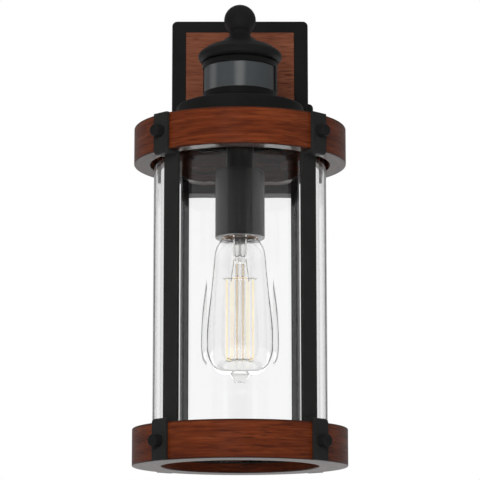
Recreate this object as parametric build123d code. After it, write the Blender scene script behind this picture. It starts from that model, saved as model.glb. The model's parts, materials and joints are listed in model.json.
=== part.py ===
from build123d import *
from math import cos, degrees, radians, sin, sqrt
import os

# Outdoor wall lantern with a motion sensor, in millimetres.
# The origin is the centre of the back plate on the wall, +Z is up and +Y points into the wall.
# The lantern's upright axis stands in front of the wall at x = 0.

# Clearances
SCREW_CLEARANCE = 0.05        # round a screw or a threaded pipe, on radius
SLIP_CLEARANCE = 0.1          # between fixed pieces that slide into each other
SHAFT_CLEARANCE = 0.05        # round a dial's shaft, on radius
MOVING_GAP = 0.3              # between pieces that move past each other

# Largest shares of a wall or a head that an edge's rounding may take, on one edge and on two
ONE_EDGE_SHARE = 0.9
TWO_EDGE_SHARE = 0.4

# Back plate: a pan with a wooden panel let into its front
PLATE_WIDTH = 120.7
PLATE_HEIGHT = 157.0
PLATE_CORNER = 4.5
PLATE_EDGE_ROUND = 1.2
PAN_DEPTH = 20.0
PAN_WALL = 2.5
PAN_FRONT = 4.0
PANEL_RECESS = 2.0
PANEL_THICKNESS = 3.0
PANEL_SIDE_BORDER = 12.4
PANEL_END_BORDER = 10.6
PANEL_EDGE_ROUND = 0.5
PANEL_SCREW_INSET = 12.0
PANEL_SCREW_COVER = 0.8
WALL_GASKET_THICKNESS = 2.0
WALL_GASKET_WIDTH = 6.0
WALL_GASKET_INSET = 0.5

# Mounting bar on the outlet box, with an ear at each end
BAR_HEIGHT = 24.0
BAR_THICKNESS = 2.0
BAR_END_GAP = 1.35
BOX_SCREW_SPACING = 88.9
BOX_SLOT_LENGTH = 10.0
BOX_SLOT_WIDTH = 4.6
EAR_HEIGHT = 12.0
EAR_MARGIN = 4.5
HOOK_HEIGHT = 8.0
HOOK_LENGTH = 4.0
LUG_REACH = 4.0
LUG_DEPTH = 4.0
LUG_HEIGHT = 10.0
GROUND_SCREW_OFFSET = 18.0
SIDE_SCREW_HEAD_RADIUS = 5.0
SIDE_SCREW_HEAD_HEIGHT = 4.6
SIDE_SCREW_HEAD_ROUND = 4.1
SIDE_SCREW_RADIUS = 2.0
SIDE_SCREW_END = 2.5

# Small screws
SMALL_SCREW_RADIUS = 1.5
SMALL_HEAD_RADIUS = 3.0
SMALL_HEAD_HEIGHT = 1.8
SMALL_HEAD_ROUND = 0.9
BOLT_RADIUS = 2.0
BOLT_HEAD_RADIUS = 3.8
BOLT_HEAD_HEIGHT = 2.0
BOLT_HEAD_ROUND = 0.7

# Wooden rings
RING_RADIUS = 88.9
RING_WALL = 13.6
RING_HEIGHT = 30.8
RING_EDGE_ROUND = 0.8
RING_TOP_DROP = 42.3
RING_SPACING = 221.6
RING_TO_PANEL = 3.1
LEDGE_HEIGHT = 8.0
LEDGE_REACH = 2.7

# Glass cylinder, smooth outside and with upright flutes inside, and its seats
GLASS_TO_RING = 3.1
GLASS_WALL = 4.4              # at the ridges between the flutes
GLASS_FLUTES = 16
GLASS_FLUTE_DEPTH = 2.0       # below the straight line between two ridges
GLASS_RIDGE_ROUND = 3.0
GLASS_EDGE_ROUND = 1.0
SEAT_THICKNESS = 1.5
SEAT_MARGIN = 0.8
TOP_GASKET_THICKNESS = 2.0

# Straps between the rings
STRAP_WIDTH = 15.9
STRAP_THICKNESS = 3.0
STRAP_TO_GLASS = 4.8
STRAP_BEND = 0.6
STRAP_EDGE_ROUND = 0.4
STRAP_AZIMUTH = 45.0
STRAP_SCREW_RADIUS = 2.0
STRAP_SCREW_BITE = 9.0
STRAP_HEAD_RADIUS = 5.0
STRAP_HEAD_HEIGHT = 7.6
STRAP_HEAD_ROUND = 1.3

# Top plate, drum and arm
TOP_PLATE_THICKNESS = 2.0
TOP_PLATE_SHOULDER = 6.7
TOP_PLATE_SCREW_BITE = 8.0
SCREW_AZIMUTH = 60.0
DRUM_RADIUS = 53.5
DRUM_WALL = 2.5
DRUM_TOP = 3.0
DRUM_OVER_ARM = 2.5
DRUM_EDGE_ROUND = 1.6
DRUM_BOSS_RADIUS = 4.0
DRUM_BOSS_GAP = 2.5
DRUM_SCREW_BITE = 9.0
ARM_WIDTH = 46.0
ARM_HEIGHT = 14.0
ARM_WALL = 2.5
ARM_FLOOR = 3.0
ARM_ROUND = 2.5
ARM_INTO_DRUM = 2.0
TONGUE_WIDTH = 30.0
FLANGE_WING = 8.0
FLANGE_LIP = 5.0
FLANGE_THICKNESS = 3.5
FLANGE_CORNER = 3.0
FLANGE_EDGE_ROUND = 0.4

# Socket
NECK_RADIUS = 10.9
NECK_WALL = 1.5
NECK_LENGTH = 34.2
CUP_RADIUS = 22.5
CUP_WALL = 1.5
CUP_HEIGHT = 56.4
CUP_EDGE_ROUND = 1.3
NIPPLE_RADIUS = 4.9
NIPPLE_BORE = 3.3
NIPPLE_END = 2.0
NUT_ACROSS_FLATS = 16.0
NUT_HEIGHT = 4.0
SOCKET_RING_THICKNESS = 1.5
SOCKET_RING_BORE = 15.2
SOCKET_RING_ROUND = 0.5
SHELL_RECESS = 0.7
SHELL_WALL = 0.5
CONTACT_CHAMBER = 6.0
CONTACT_CHAMBER_RADIUS = 9.0
CONTACT_RADIUS = 3.0
CONTACT_FOOT_RADIUS = 6.5
CONTACT_FOOT = 1.0
CONTACT_GAP = 0.3

# Leads from the socket to the sensor's relay
LEAD_RADIUS = 0.9
LEAD_SPACING = 3.2
LEAD_BEND = 2.5
LEAD_RUN_CLEAR = 2.0

# Bulb, measured down from the lower edge of its base
BULB_BASE_RECESS = 0.9
BULB_BASE_RADIUS = 13.0
BULB_BASE_LENGTH = 22.0
BULB_BASE_WALL = 0.4
BULB_INSULATOR_LENGTH = 5.0
BULB_INSULATOR_RADIUS = 10.5
BULB_TIP_RADIUS = 4.6
BULB_TIP_LENGTH = 1.5
BULB_TIP_ROUND = 0.9
BULB_WALL = 0.6
BULB_NECK_INSIDE = 8.0
BULB_THROAT_RADIUS = 17.3
BULB_THROAT_DROP = 4.0
BULB_SHOULDER_RADIUS = 21.3
BULB_SHOULDER_DROP = 9.2
BULB_CHEST_RADIUS = 23.7
BULB_CHEST_DROP = 20.0
BULB_FLANK_RADIUS = 26.8
BULB_FLANK_DROP = 46.0
BULB_SIDE_RADIUS = 29.2
BULB_SIDE_DROP = 70.0
BULB_BELLY_RADIUS = 30.0
BULB_BELLY_DROP = 87.0
BULB_HIP_RADIUS = 28.9
BULB_HIP_DROP = 100.5
BULB_HEEL_RADIUS = 25.2
BULB_HEEL_DROP = 108.6
BULB_SOLE_RADIUS = 20.3
BULB_SOLE_DROP = 112.9
BULB_FOOT_RADIUS = 14.5
BULB_FOOT_DROP = 114.5
BULB_LENGTH = 116.1
BULB_PIP_RADIUS = 7.6
BULB_PIP_END = 1.4
BULB_PIP_ROUND = 1.2
BULB_PIP_HOLLOW = 0.5          # share of the tip's end
BULB_PIP_LENGTH = 6.5
BULB_INSIDE_STEPS = 48

# Inside of the bulb
STEM_FLARE = 1.2
STEM_RADIUS = 3.5
STEM_TAPER = 9.0
STEM_LENGTH = 23.0
STEM_ROD_RADIUS = 1.1
STEM_ROD_LENGTH = 105.0
SUPPORT_BEAD_RADIUS = 2.3
SUPPORT_BEAD_HEIGHT = 1.8
SUPPORT_WIRE_RADIUS = 0.3
SUPPORT_TIP_RADIUS = 14.4
FILAMENT_TOP_DROP = 36.2
FILAMENT_LENGTH = 66.3
FILAMENT_RADIUS = 10.9
FILAMENT_THICKNESS = 0.8
FILAMENT_STRANDS = 8
FILAMENT_OPENING = 60.0
LEAD_IN_RADIUS = 0.4

# Motion sensor
SENSOR_YAW = -13.0
SENSOR_RADIUS = 31.5
SENSOR_BASE_HEIGHT = 12.0
SENSOR_BASE_FLOOR = 4.5
SENSOR_BASE_RIM = 5.5
SENSOR_EDGE_ROUND = 0.8
SENSOR_SCREW_X = 18.0
SENSOR_SCREW_Y = -12.0
SENSOR_SCREW_BITE = 3.8
WIRE_HOLE_RADIUS = 4.0
WIRE_HOLE_Y = 9.0
LENS_RADIUS = 30.3
LENS_WALL = 1.2
LENS_HEIGHT = 21.3
LENS_HALF_ANGLE = 85.0
LENS_EDGE_GAP = 0.4
HOUSING_WALL = 2.2
COLLAR_RADIUS = 31.8
COLLAR_HEIGHT = 4.7
COLLAR_WEB = 2.0
PAD_WIDTH = 34.0
PAD_HEIGHT = 14.0
PAD_DEPTH = 5.0
BOARD_WIDTH = 44.0
BOARD_THICKNESS = 1.6
BOARD_FRONT = 1.0
BOARD_GROOVE = 1.5
BOARD_TOP_GAP = 3.0
DETECTOR_RADIUS = 4.6
DETECTOR_LENGTH = 4.2
DETECTOR_FLANGE_RADIUS = 5.3
DETECTOR_FLANGE = 0.8
LIGHT_SENSOR_RADIUS = 2.5
LIGHT_SENSOR_LENGTH = 2.5
LIGHT_SENSOR_X = 12.0
RELAY_WIDTH = 18.0
RELAY_DEPTH = 14.0
RELAY_HEIGHT = 12.0
RELAY_LIFT = 1.0
CAPACITOR_RADIUS = 4.0
CAPACITOR_LENGTH = 11.0
CAPACITOR_GAP = 2.5
POT_SIZE = 9.0
POT_DEPTH = 6.0
POT_FLOOR = 2.0
DIAL_SPACING = 18.0
DIAL_RISE = 2.0
DIAL_RADIUS = 5.0
DIAL_THICKNESS = 3.0
DIAL_CHAMFER = 0.5
DIAL_SHAFT_RADIUS = 2.0
DIAL_SLOT_WIDTH = 1.2
DIAL_SLOT_DEPTH = 0.8

# Roof over the sensor, measured up from the collar
ROOF_SPIGOT_RADIUS = 29.6
ROOF_GROOVE = 0.9
ROOF_RADIUS = 35.3
ROOF_BEAD_RADIUS = 5.0
ROOF_CREST_ANGLE = 62.0
ROOF_SHOULDER_RADIUS = 28.6
ROOF_SHOULDER_RISE = 13.2
ROOF_WAIST_RADIUS = 18.2
ROOF_WAIST_RISE = 17.6
ROOF_THROAT_RADIUS = 11.7
ROOF_THROAT_RISE = 22.1
ROOF_NECK_RADIUS = 8.8
ROOF_NECK_RISE = 26.4
ROOF_CAVITY_RADIUS = 25.0
ROOF_CAVITY_DEPTH = 8.0
ROOF_BOSS_RADIUS = 4.0
ROOF_SCREW_X = 14.0
ROOF_SCREW_BITE = 7.0

# Finial
FINIAL_RADIUS = 13.5
FINIAL_BEAD_RADIUS = 9.3
FINIAL_BEAD_HEIGHT = 2.2
FINIAL_BEAD_SINK = 0.4
FINIAL_STUD_RADIUS = 3.0
FINIAL_STUD_LENGTH = 10.0

# Distances in front of the wall
pan_back = WALL_GASKET_THICKNESS
pan_face = pan_back + PAN_DEPTH
pan_inside = pan_face - PAN_FRONT
panel_seat = pan_face - PANEL_RECESS
panel_face = panel_seat + PANEL_THICKNESS
flange_face = panel_seat + FLANGE_THICKNESS
side_screw_distance = pan_back + PAN_DEPTH / 2
axis_distance = panel_face + RING_TO_PANEL + RING_RADIUS

# Heights of the rings, the glass and what stands on the upper ring
upper_ring_top = -RING_TOP_DROP
upper_ring_bottom = upper_ring_top - RING_HEIGHT
lower_ring_top = upper_ring_bottom - RING_SPACING
lower_ring_bottom = lower_ring_top - RING_HEIGHT
top_plate_bottom = upper_ring_top - TOP_PLATE_THICKNESS
seat_bottom = lower_ring_bottom + LEDGE_HEIGHT
glass_bottom = seat_bottom + SEAT_THICKNESS
glass_top = top_plate_bottom - TOP_GASKET_THICKNESS
arm_middle = upper_ring_top + ARM_HEIGHT / 2
drum_top = upper_ring_top + ARM_HEIGHT + DRUM_OVER_ARM + DRUM_TOP
drum_ceiling = drum_top - DRUM_TOP

# Heights of the sensor and the roof
base_floor_top = drum_top + SENSOR_BASE_FLOOR
lens_bottom = drum_top + SENSOR_BASE_HEIGHT
lens_top = lens_bottom + LENS_HEIGHT
collar_top = lens_top + COLLAR_HEIGHT
web_bottom = collar_top - COLLAR_WEB
dial_height = (lens_bottom + lens_top) / 2 + DIAL_RISE
roof_neck = collar_top + ROOF_NECK_RISE

# Heights of the socket and the bulb
cup_top = top_plate_bottom - NECK_LENGTH
cup_mouth = cup_top - CUP_HEIGHT
lower_nut_top = cup_top - CUP_WALL
porcelain_top = lower_nut_top - NUT_HEIGHT
porcelain_bottom = cup_mouth + SOCKET_RING_THICKNESS
bulb_base_bottom = cup_mouth + BULB_BASE_RECESS
bulb_base_top = bulb_base_bottom + BULB_BASE_LENGTH
insulator_top = bulb_base_top + BULB_INSULATOR_LENGTH
tip_bottom = insulator_top + CONTACT_GAP
tip_top = tip_bottom + BULB_TIP_LENGTH
shell_top = insulator_top
chamber_top = shell_top + CONTACT_CHAMBER
tongue_top = upper_ring_top + ARM_FLOOR
upper_nut_top = tongue_top + NUT_HEIGHT
nipple_bottom = porcelain_top
nipple_top = upper_nut_top + NIPPLE_END

# Radii that follow from the rings
ring_bore = RING_RADIUS - RING_WALL
glass_radius = ring_bore - GLASS_TO_RING
glass_bore = glass_radius - GLASS_WALL
ledge_bore = glass_bore - LEDGE_REACH
strap_bar_inside = glass_radius + STRAP_TO_GLASS
strap_bar_outside = strap_bar_inside + STRAP_THICKNESS
strap_plate_inside = RING_RADIUS + SCREW_CLEARANCE
strap_plate_outside = strap_plate_inside + STRAP_THICKNESS
top_plate_radius = ring_bore + TOP_PLATE_SHOULDER
top_screw_radius = ring_bore + TOP_PLATE_SHOULDER / 2
drum_boss_circle = DRUM_RADIUS - DRUM_WALL - DRUM_BOSS_GAP - DRUM_BOSS_RADIUS

# Places of the hook, the panel's screws and the pieces round the bulb's base
lug_back = side_screw_distance - LUG_DEPTH - HOOK_LENGTH / 2
lug_front = lug_back + LUG_DEPTH
hook_back = lug_front + MOVING_GAP
hook_front = hook_back + BAR_THICKNESS
panel_screw_end = panel_face - PANEL_SCREW_COVER
shell_inside = BULB_BASE_RADIUS + MOVING_GAP
shell_outside = shell_inside + SHELL_WALL
bulb_neck_radius = BULB_BASE_RADIUS - BULB_BASE_WALL - SLIP_CLEARANCE
bulb_neck_top = bulb_base_bottom + BULB_NECK_INSIDE
stem_end = bulb_base_bottom - STEM_LENGTH
filament_top = bulb_base_bottom - FILAMENT_TOP_DROP
filament_foot = filament_top - FILAMENT_LENGTH

# Other places that several pieces share
panel_width = PLATE_WIDTH - 2 * PANEL_SIDE_BORDER
panel_height = PLATE_HEIGHT - 2 * PANEL_END_BORDER
pan_half_width = PLATE_WIDTH / 2 - PAN_WALL
bar_half_length = PLATE_WIDTH / 2 - WALL_GASKET_INSET - WALL_GASKET_WIDTH - BAR_END_GAP
flange_width = ARM_WIDTH + 2 * FLANGE_WING
flange_height = ARM_HEIGHT + 2 * FLANGE_LIP
drum_wall_at_arm = sqrt((DRUM_RADIUS - DRUM_WALL) ** 2 - (ARM_WIDTH / 2) ** 2)
arm_end = axis_distance - drum_wall_at_arm + ARM_INTO_DRUM
passage_width = ARM_WIDTH - 2 * ARM_WALL
passage_height = ARM_HEIGHT - ARM_FLOOR - ARM_WALL
passage_middle = upper_ring_top + ARM_FLOOR + passage_height / 2
board_back = BOARD_FRONT + BOARD_THICKNESS
relay_bottom = base_floor_top + RELAY_LIFT
dial_face = SENSOR_RADIUS + MOVING_GAP
strap_azimuths = {
    "front_left": -STRAP_AZIMUTH,
    "front_right": STRAP_AZIMUTH,
    "rear_left": STRAP_AZIMUTH - 180,
    "rear_right": 180 - STRAP_AZIMUTH,
}
screw_azimuths = [SCREW_AZIMUTH, 180 - SCREW_AZIMUTH, SCREW_AZIMUTH - 180, -SCREW_AZIMUTH]
arm_screw_places = [
    (side * (ARM_WIDTH + FLANGE_WING) / 2, arm_middle + rise * ARM_HEIGHT / 2)
    for side in (-1, 1)
    for rise in (-1, 1)
]
panel_screw_places = [
    (side * (panel_width / 2 - PANEL_SCREW_INSET), rise * (panel_height / 2 - PANEL_SCREW_INSET))
    for side in (-1, 1)
    for rise in (-1, 1)
]
UPRIGHT = (Align.CENTER, Align.CENTER, Align.MIN)
SAME_PLACE = 0.001


# Helpers

def slab(width, height, back, front, corner=0.0, x=0.0, z=0.0):
    """Block between two distances in front of the wall."""
    outline = RectangleRounded(width, height, corner) if corner else Rectangle(width, height)
    return extrude(Plane.XZ.offset(back) * Pos(x, z, 0) * outline, front - back)


def peg(radius, back, front, x=0.0, z=0.0):
    """Round rod between two distances in front of the wall."""
    return extrude(Plane.XZ.offset(back) * Pos(x, z, 0) * Circle(radius), front - back)


def on_axis(shape):
    """Carry a shape from the origin to the lantern's upright axis."""
    return Pos(0, -axis_distance, 0) * shape


def disc(radius, bottom, top):
    """Solid cylinder on the lantern's axis."""
    return on_axis(Pos(0, 0, bottom) * Cylinder(radius, top - bottom, align=UPRIGHT))


def tube(outer, inner, bottom, top):
    """Open cylinder on the lantern's axis."""
    return disc(outer, bottom, top) - disc(inner, bottom, top)


def turned(*outline):
    """Body of revolution on the lantern's axis, from a closed outline of radius and height."""
    return on_axis(revolve(Plane.XZ * make_face(outline), Axis.Z))


def round_edges(shape, radius, height):
    """Circular edges of a turned piece with this radius at this height."""
    return [
        edge
        for edge in shape.edges().filter_by(GeomType.CIRCLE)
        if abs(edge.radius - radius) < SAME_PLACE and abs(edge.center().Z - height) < SAME_PLACE
    ]


def radial(shape, azimuth):
    """Turn a shape whose X axis points outwards to an azimuth, counted from the front to the right."""
    return on_axis(Rot(0, 0, azimuth - 90) * shape)


def in_sensor(shape):
    """Carry a shape from the sensor's own frame, whose front is -Y, to its place."""
    return on_axis(Rot(0, 0, SENSOR_YAW) * shape)


def screw(head_radius, head_height, shank_radius, shank_length, head_round):
    """Screw along Z: its head stands on the plane z = 0 and its shank hangs below it."""
    head = Cylinder(head_radius, head_height, align=UPRIGHT)
    head = fillet(head.edges().group_by(Axis.Z)[-1], min(head_round, head_height * ONE_EDGE_SHARE))
    return head + Pos(0, 0, -shank_length) * Cylinder(shank_radius, shank_length, align=UPRIGHT)


def rod_between(start, end, radius):
    """Straight round rod from one point to another."""
    along = Vector(*end) - Vector(*start)
    return extrude(Plane(origin=start, z_dir=along) * Circle(radius), along.length)


def joined(pieces):
    """One shape made of all the pieces."""
    whole = pieces[0]
    for piece in pieces[1:]:
        whole += piece
    return whole


def around(radius, azimuth, height, axis=axis_distance):
    """Point at a radius from an upright axis, an azimuth from the front to the right and a height."""
    return (radius * sin(radians(azimuth)), -axis - radius * cos(radians(azimuth)), height)


def screw_ring(one, radius, height):
    """Copies of a screw or a hole at the four places of the drum's and the top plate's screws."""
    return joined([Pos(*around(radius, azimuth, height)) * one for azimuth in screw_azimuths])


# Wall side

def make_back_plate():
    pan = slab(PLATE_WIDTH, PLATE_HEIGHT, pan_back, pan_face, PLATE_CORNER)
    pan = fillet(pan.faces().sort_by(Axis.Y)[0].edges(), min(PLATE_EDGE_ROUND, PAN_WALL * ONE_EDGE_SHARE))
    inner_corner = max(PLATE_CORNER - PAN_WALL, PAN_WALL / 4)
    inner_height = PLATE_HEIGHT - 2 * PAN_WALL
    pan -= slab(2 * pan_half_width, inner_height, pan_back, pan_inside, inner_corner)
    pan -= slab(panel_width + 2 * SLIP_CLEARANCE, panel_height + 2 * SLIP_CLEARANCE, panel_seat, pan_face)
    pan -= slab(passage_width, passage_height, pan_inside, panel_seat, z=passage_middle)
    for x, z in arm_screw_places:
        pan -= peg(BOLT_RADIUS + SCREW_CLEARANCE, pan_inside, panel_seat, x, z)
    for x, z in panel_screw_places:
        pan -= peg(SMALL_SCREW_RADIUS + SCREW_CLEARANCE, pan_inside, panel_seat, x, z)
    side_hole = Rot(0, 90, 0) * Cylinder(SIDE_SCREW_RADIUS + SLIP_CLEARANCE, 3 * PAN_WALL)
    pan -= Pos(PLATE_WIDTH / 2, -side_screw_distance, 0) * side_hole
    lug_x = -pan_half_width + LUG_REACH / 2
    return pan + slab(LUG_REACH, LUG_HEIGHT, lug_back, lug_front, x=lug_x)


def make_wood_panel():
    panel = slab(panel_width, panel_height, panel_seat, panel_face)
    panel_round = min(PANEL_EDGE_ROUND, PANEL_THICKNESS * ONE_EDGE_SHARE)
    panel = fillet(panel.faces().sort_by(Axis.Y)[0].edges(), panel_round)
    slot_width = flange_width + 2 * SLIP_CLEARANCE
    slot_height = flange_height + 2 * SLIP_CLEARANCE
    panel -= slab(slot_width, slot_height, panel_seat, panel_face, FLANGE_CORNER, z=arm_middle)
    for x, z in panel_screw_places:
        panel -= peg(SMALL_SCREW_RADIUS + SCREW_CLEARANCE, panel_seat, panel_screw_end, x, z)
    return panel


def make_panel_screws():
    bite = panel_screw_end - SCREW_CLEARANCE - pan_inside
    one = screw(SMALL_HEAD_RADIUS, SMALL_HEAD_HEIGHT, SMALL_SCREW_RADIUS, bite, SMALL_HEAD_ROUND)
    one = Rot(-90, 0, 0) * one
    return joined([Pos(x, -pan_inside, z) * one for x, z in panel_screw_places])


def make_wall_gasket():
    outer_width = PLATE_WIDTH - 2 * WALL_GASKET_INSET
    outer_height = PLATE_HEIGHT - 2 * WALL_GASKET_INSET
    sheet = slab(outer_width, outer_height, 0, pan_back, PLATE_CORNER)
    window_width = outer_width - 2 * WALL_GASKET_WIDTH
    window_height = outer_height - 2 * WALL_GASKET_WIDTH
    return sheet - slab(window_width, window_height, 0, pan_back)


def make_mounting_bar():
    bar = slab(2 * bar_half_length, BAR_HEIGHT, 0, BAR_THICKNESS)
    ear_x = bar_half_length - BAR_THICKNESS / 2
    bar += slab(BAR_THICKNESS, EAR_HEIGHT, 0, side_screw_distance + EAR_MARGIN, x=ear_x)
    bar += slab(BAR_THICKNESS, EAR_HEIGHT, 0, hook_front, x=-ear_x)
    hook_x = -bar_half_length - HOOK_LENGTH / 2
    bar += slab(HOOK_LENGTH, HOOK_HEIGHT, hook_back, hook_front, x=hook_x)
    tapped = Rot(0, 90, 0) * Cylinder(SIDE_SCREW_RADIUS + SCREW_CLEARANCE, 3 * BAR_THICKNESS)
    bar -= Pos(ear_x, -side_screw_distance, 0) * tapped
    for side in (-1, 1):
        slot = Pos(side * BOX_SCREW_SPACING / 2, 0, 0) * SlotOverall(BOX_SLOT_LENGTH, BOX_SLOT_WIDTH)
        bar -= extrude(Plane.XZ * slot, BAR_THICKNESS)
    return bar - peg(BOLT_RADIUS + SCREW_CLEARANCE, 0, BAR_THICKNESS, GROUND_SCREW_OFFSET)


def make_ground_screw():
    bite = BAR_THICKNESS - SLIP_CLEARANCE
    one = screw(BOLT_HEAD_RADIUS, BOLT_HEAD_HEIGHT, BOLT_RADIUS, bite, BOLT_HEAD_ROUND)
    return Pos(GROUND_SCREW_OFFSET, -BAR_THICKNESS, 0) * Rot(90, 0, 0) * one


def make_side_screw():
    reach = PLATE_WIDTH / 2 - bar_half_length + BAR_THICKNESS + SIDE_SCREW_END
    one = screw(
        SIDE_SCREW_HEAD_RADIUS, SIDE_SCREW_HEAD_HEIGHT, SIDE_SCREW_RADIUS, reach, SIDE_SCREW_HEAD_ROUND
    )
    return Pos(PLATE_WIDTH / 2, -side_screw_distance, 0) * Rot(0, 90, 0) * one


def arm_bar(extra, back, front):
    """The arm's outer section, grown by a clearance at its sides and top."""
    outline = Rectangle(ARM_WIDTH + 2 * extra, ARM_HEIGHT + extra)
    outline = fillet(outline.vertices().group_by(Axis.Y)[-1], ARM_ROUND + extra)
    return extrude(Plane.XZ.offset(back) * Pos(0, arm_middle + extra / 2, 0) * outline, front - back)


def make_arm():
    flange = slab(flange_width, flange_height, panel_seat, flange_face, FLANGE_CORNER, z=arm_middle)
    flange_round = min(FLANGE_EDGE_ROUND, FLANGE_THICKNESS * ONE_EDGE_SHARE)
    flange = fillet(flange.faces().sort_by(Axis.Y)[0].edges(), flange_round)
    arm = flange + arm_bar(0, panel_seat, arm_end)
    arm -= slab(passage_width, passage_height, panel_seat, arm_end, z=passage_middle)
    tongue_middle = upper_ring_top + ARM_FLOOR / 2
    arm += slab(TONGUE_WIDTH, ARM_FLOOR, arm_end, axis_distance, z=tongue_middle)
    arm += disc(TONGUE_WIDTH / 2, upper_ring_top, tongue_top)
    arm -= disc(NIPPLE_RADIUS + SCREW_CLEARANCE, upper_ring_top, tongue_top)
    for x, z in arm_screw_places:
        arm -= peg(BOLT_RADIUS + SCREW_CLEARANCE, panel_seat, flange_face, x, z)
    return arm


def make_arm_screws():
    bite = flange_face - pan_inside - SLIP_CLEARANCE
    one = Rot(-90, 0, 0) * screw(BOLT_HEAD_RADIUS, BOLT_HEAD_HEIGHT, BOLT_RADIUS, bite, BOLT_HEAD_ROUND)
    return joined([Pos(x, -pan_inside, z) * one for x, z in arm_screw_places])


# Rings, glass and straps

def strap_screw_holes(height):
    """Pilot holes for the strap screws in a ring, all round."""
    depth = STRAP_SCREW_BITE + SLIP_CLEARANCE
    hole = Pos(RING_RADIUS - depth, 0, height) * Rot(0, 90, 0)
    hole *= Cylinder(STRAP_SCREW_RADIUS + SCREW_CLEARANCE, 2 * depth, align=UPRIGHT)
    return [radial(hole, azimuth) for azimuth in strap_azimuths.values()]


def make_upper_ring():
    ring = tube(RING_RADIUS, ring_bore, upper_ring_bottom, upper_ring_top)
    for height in (upper_ring_bottom, upper_ring_top):
        ring = fillet(round_edges(ring, RING_RADIUS, height), RING_EDGE_ROUND)
    ring = fillet(round_edges(ring, ring_bore, upper_ring_bottom), RING_EDGE_ROUND)
    ring -= disc(top_plate_radius + SLIP_CLEARANCE, top_plate_bottom, upper_ring_top)
    depth = TOP_PLATE_SCREW_BITE + SLIP_CLEARANCE
    pilot = Cylinder(SMALL_SCREW_RADIUS + SCREW_CLEARANCE, depth, align=UPRIGHT)
    ring -= screw_ring(pilot, top_screw_radius, top_plate_bottom - depth)
    for hole in strap_screw_holes(upper_ring_bottom + RING_HEIGHT / 2):
        ring -= hole
    return ring


def make_lower_ring():
    ring = disc(RING_RADIUS, lower_ring_bottom, lower_ring_top)
    ring -= disc(ring_bore, seat_bottom, lower_ring_top)
    ring -= disc(ledge_bore, lower_ring_bottom, seat_bottom)
    for height in (lower_ring_bottom, lower_ring_top):
        ring = fillet(round_edges(ring, RING_RADIUS, height), RING_EDGE_ROUND)
    ring = fillet(round_edges(ring, ring_bore, lower_ring_top), RING_EDGE_ROUND)
    ring = fillet(round_edges(ring, ledge_bore, lower_ring_bottom), RING_EDGE_ROUND)
    for hole in strap_screw_holes(lower_ring_bottom + RING_HEIGHT / 2):
        ring -= hole
    return ring


def make_glass_cylinder():
    glass = disc(glass_radius, glass_bottom, glass_top)
    rims = round_edges(glass, glass_radius, glass_bottom) + round_edges(glass, glass_radius, glass_top)
    glass = fillet(rims, min(GLASS_EDGE_ROUND, GLASS_WALL * TWO_EDGE_SHARE))
    half = radians(180 / GLASS_FLUTES)
    flute_bottom = glass_bore * cos(half) + GLASS_FLUTE_DEPTH
    flutes = []
    for index in range(GLASS_FLUTES):
        middle = (2 * index + 1) * half
        places = ((glass_bore, middle - half), (flute_bottom, middle), (glass_bore, middle + half))
        flutes.append(ThreePointArc(*[(radius * sin(turn), -radius * cos(turn)) for radius, turn in places]))
    bore = make_face(flutes)
    bore = fillet(bore.vertices(), GLASS_RIDGE_ROUND)
    return glass - on_axis(Pos(0, 0, glass_bottom) * extrude(bore, glass_top - glass_bottom))


def make_glass_seat():
    return tube(glass_radius + SEAT_MARGIN, glass_bore - SEAT_MARGIN, seat_bottom, glass_bottom)


def make_glass_top_gasket():
    return tube(glass_radius + SEAT_MARGIN, glass_bore - SEAT_MARGIN, glass_top, top_plate_bottom)


def make_strap():
    """Flat bar bent round the lower edge of one ring and the upper edge of the other."""
    outer_bend = STRAP_BEND + STRAP_THICKNESS
    corners = [
        (strap_plate_outside, upper_ring_top, 0),
        (strap_plate_outside, upper_ring_bottom - STRAP_THICKNESS, outer_bend),
        (strap_bar_outside, upper_ring_bottom - STRAP_THICKNESS, STRAP_BEND),
        (strap_bar_outside, lower_ring_top + STRAP_THICKNESS, STRAP_BEND),
        (strap_plate_outside, lower_ring_top + STRAP_THICKNESS, outer_bend),
        (strap_plate_outside, lower_ring_bottom, 0),
        (strap_plate_inside, lower_ring_bottom, 0),
        (strap_plate_inside, lower_ring_top, STRAP_BEND),
        (strap_bar_inside, lower_ring_top, outer_bend),
        (strap_bar_inside, upper_ring_bottom, outer_bend),
        (strap_plate_inside, upper_ring_bottom, STRAP_BEND),
        (strap_plate_inside, upper_ring_top, 0),
    ]
    places = [(radius, height) for radius, height, _ in corners]
    bends = [bend for _, _, bend in corners]
    outline = FilletPolyline(*places, radius=bends, close=True)
    strap = extrude(Plane.XZ * make_face(outline), STRAP_WIDTH / 2, both=True)
    strap_round = min(STRAP_EDGE_ROUND, STRAP_THICKNESS * TWO_EDGE_SHARE, STRAP_BEND * ONE_EDGE_SHARE)
    for side in (0, -1):
        strap = fillet(strap.faces().sort_by(Axis.Y)[side].edges(), strap_round)
    for bottom in (lower_ring_bottom, upper_ring_bottom):
        hole = Rot(0, 90, 0) * Cylinder(STRAP_SCREW_RADIUS + SCREW_CLEARANCE, 4 * STRAP_THICKNESS)
        strap -= Pos(strap_plate_inside, 0, bottom + RING_HEIGHT / 2) * hole
    return strap


def make_strap_screws(ring_bottom):
    shank = strap_plate_outside - RING_RADIUS + STRAP_SCREW_BITE
    one = screw(STRAP_HEAD_RADIUS, STRAP_HEAD_HEIGHT, STRAP_SCREW_RADIUS, shank, STRAP_HEAD_ROUND)
    one = Pos(strap_plate_outside, 0, ring_bottom + RING_HEIGHT / 2) * Rot(0, 90, 0) * one
    return joined([radial(one, azimuth) for azimuth in strap_azimuths.values()])


# Top plate and drum

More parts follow.
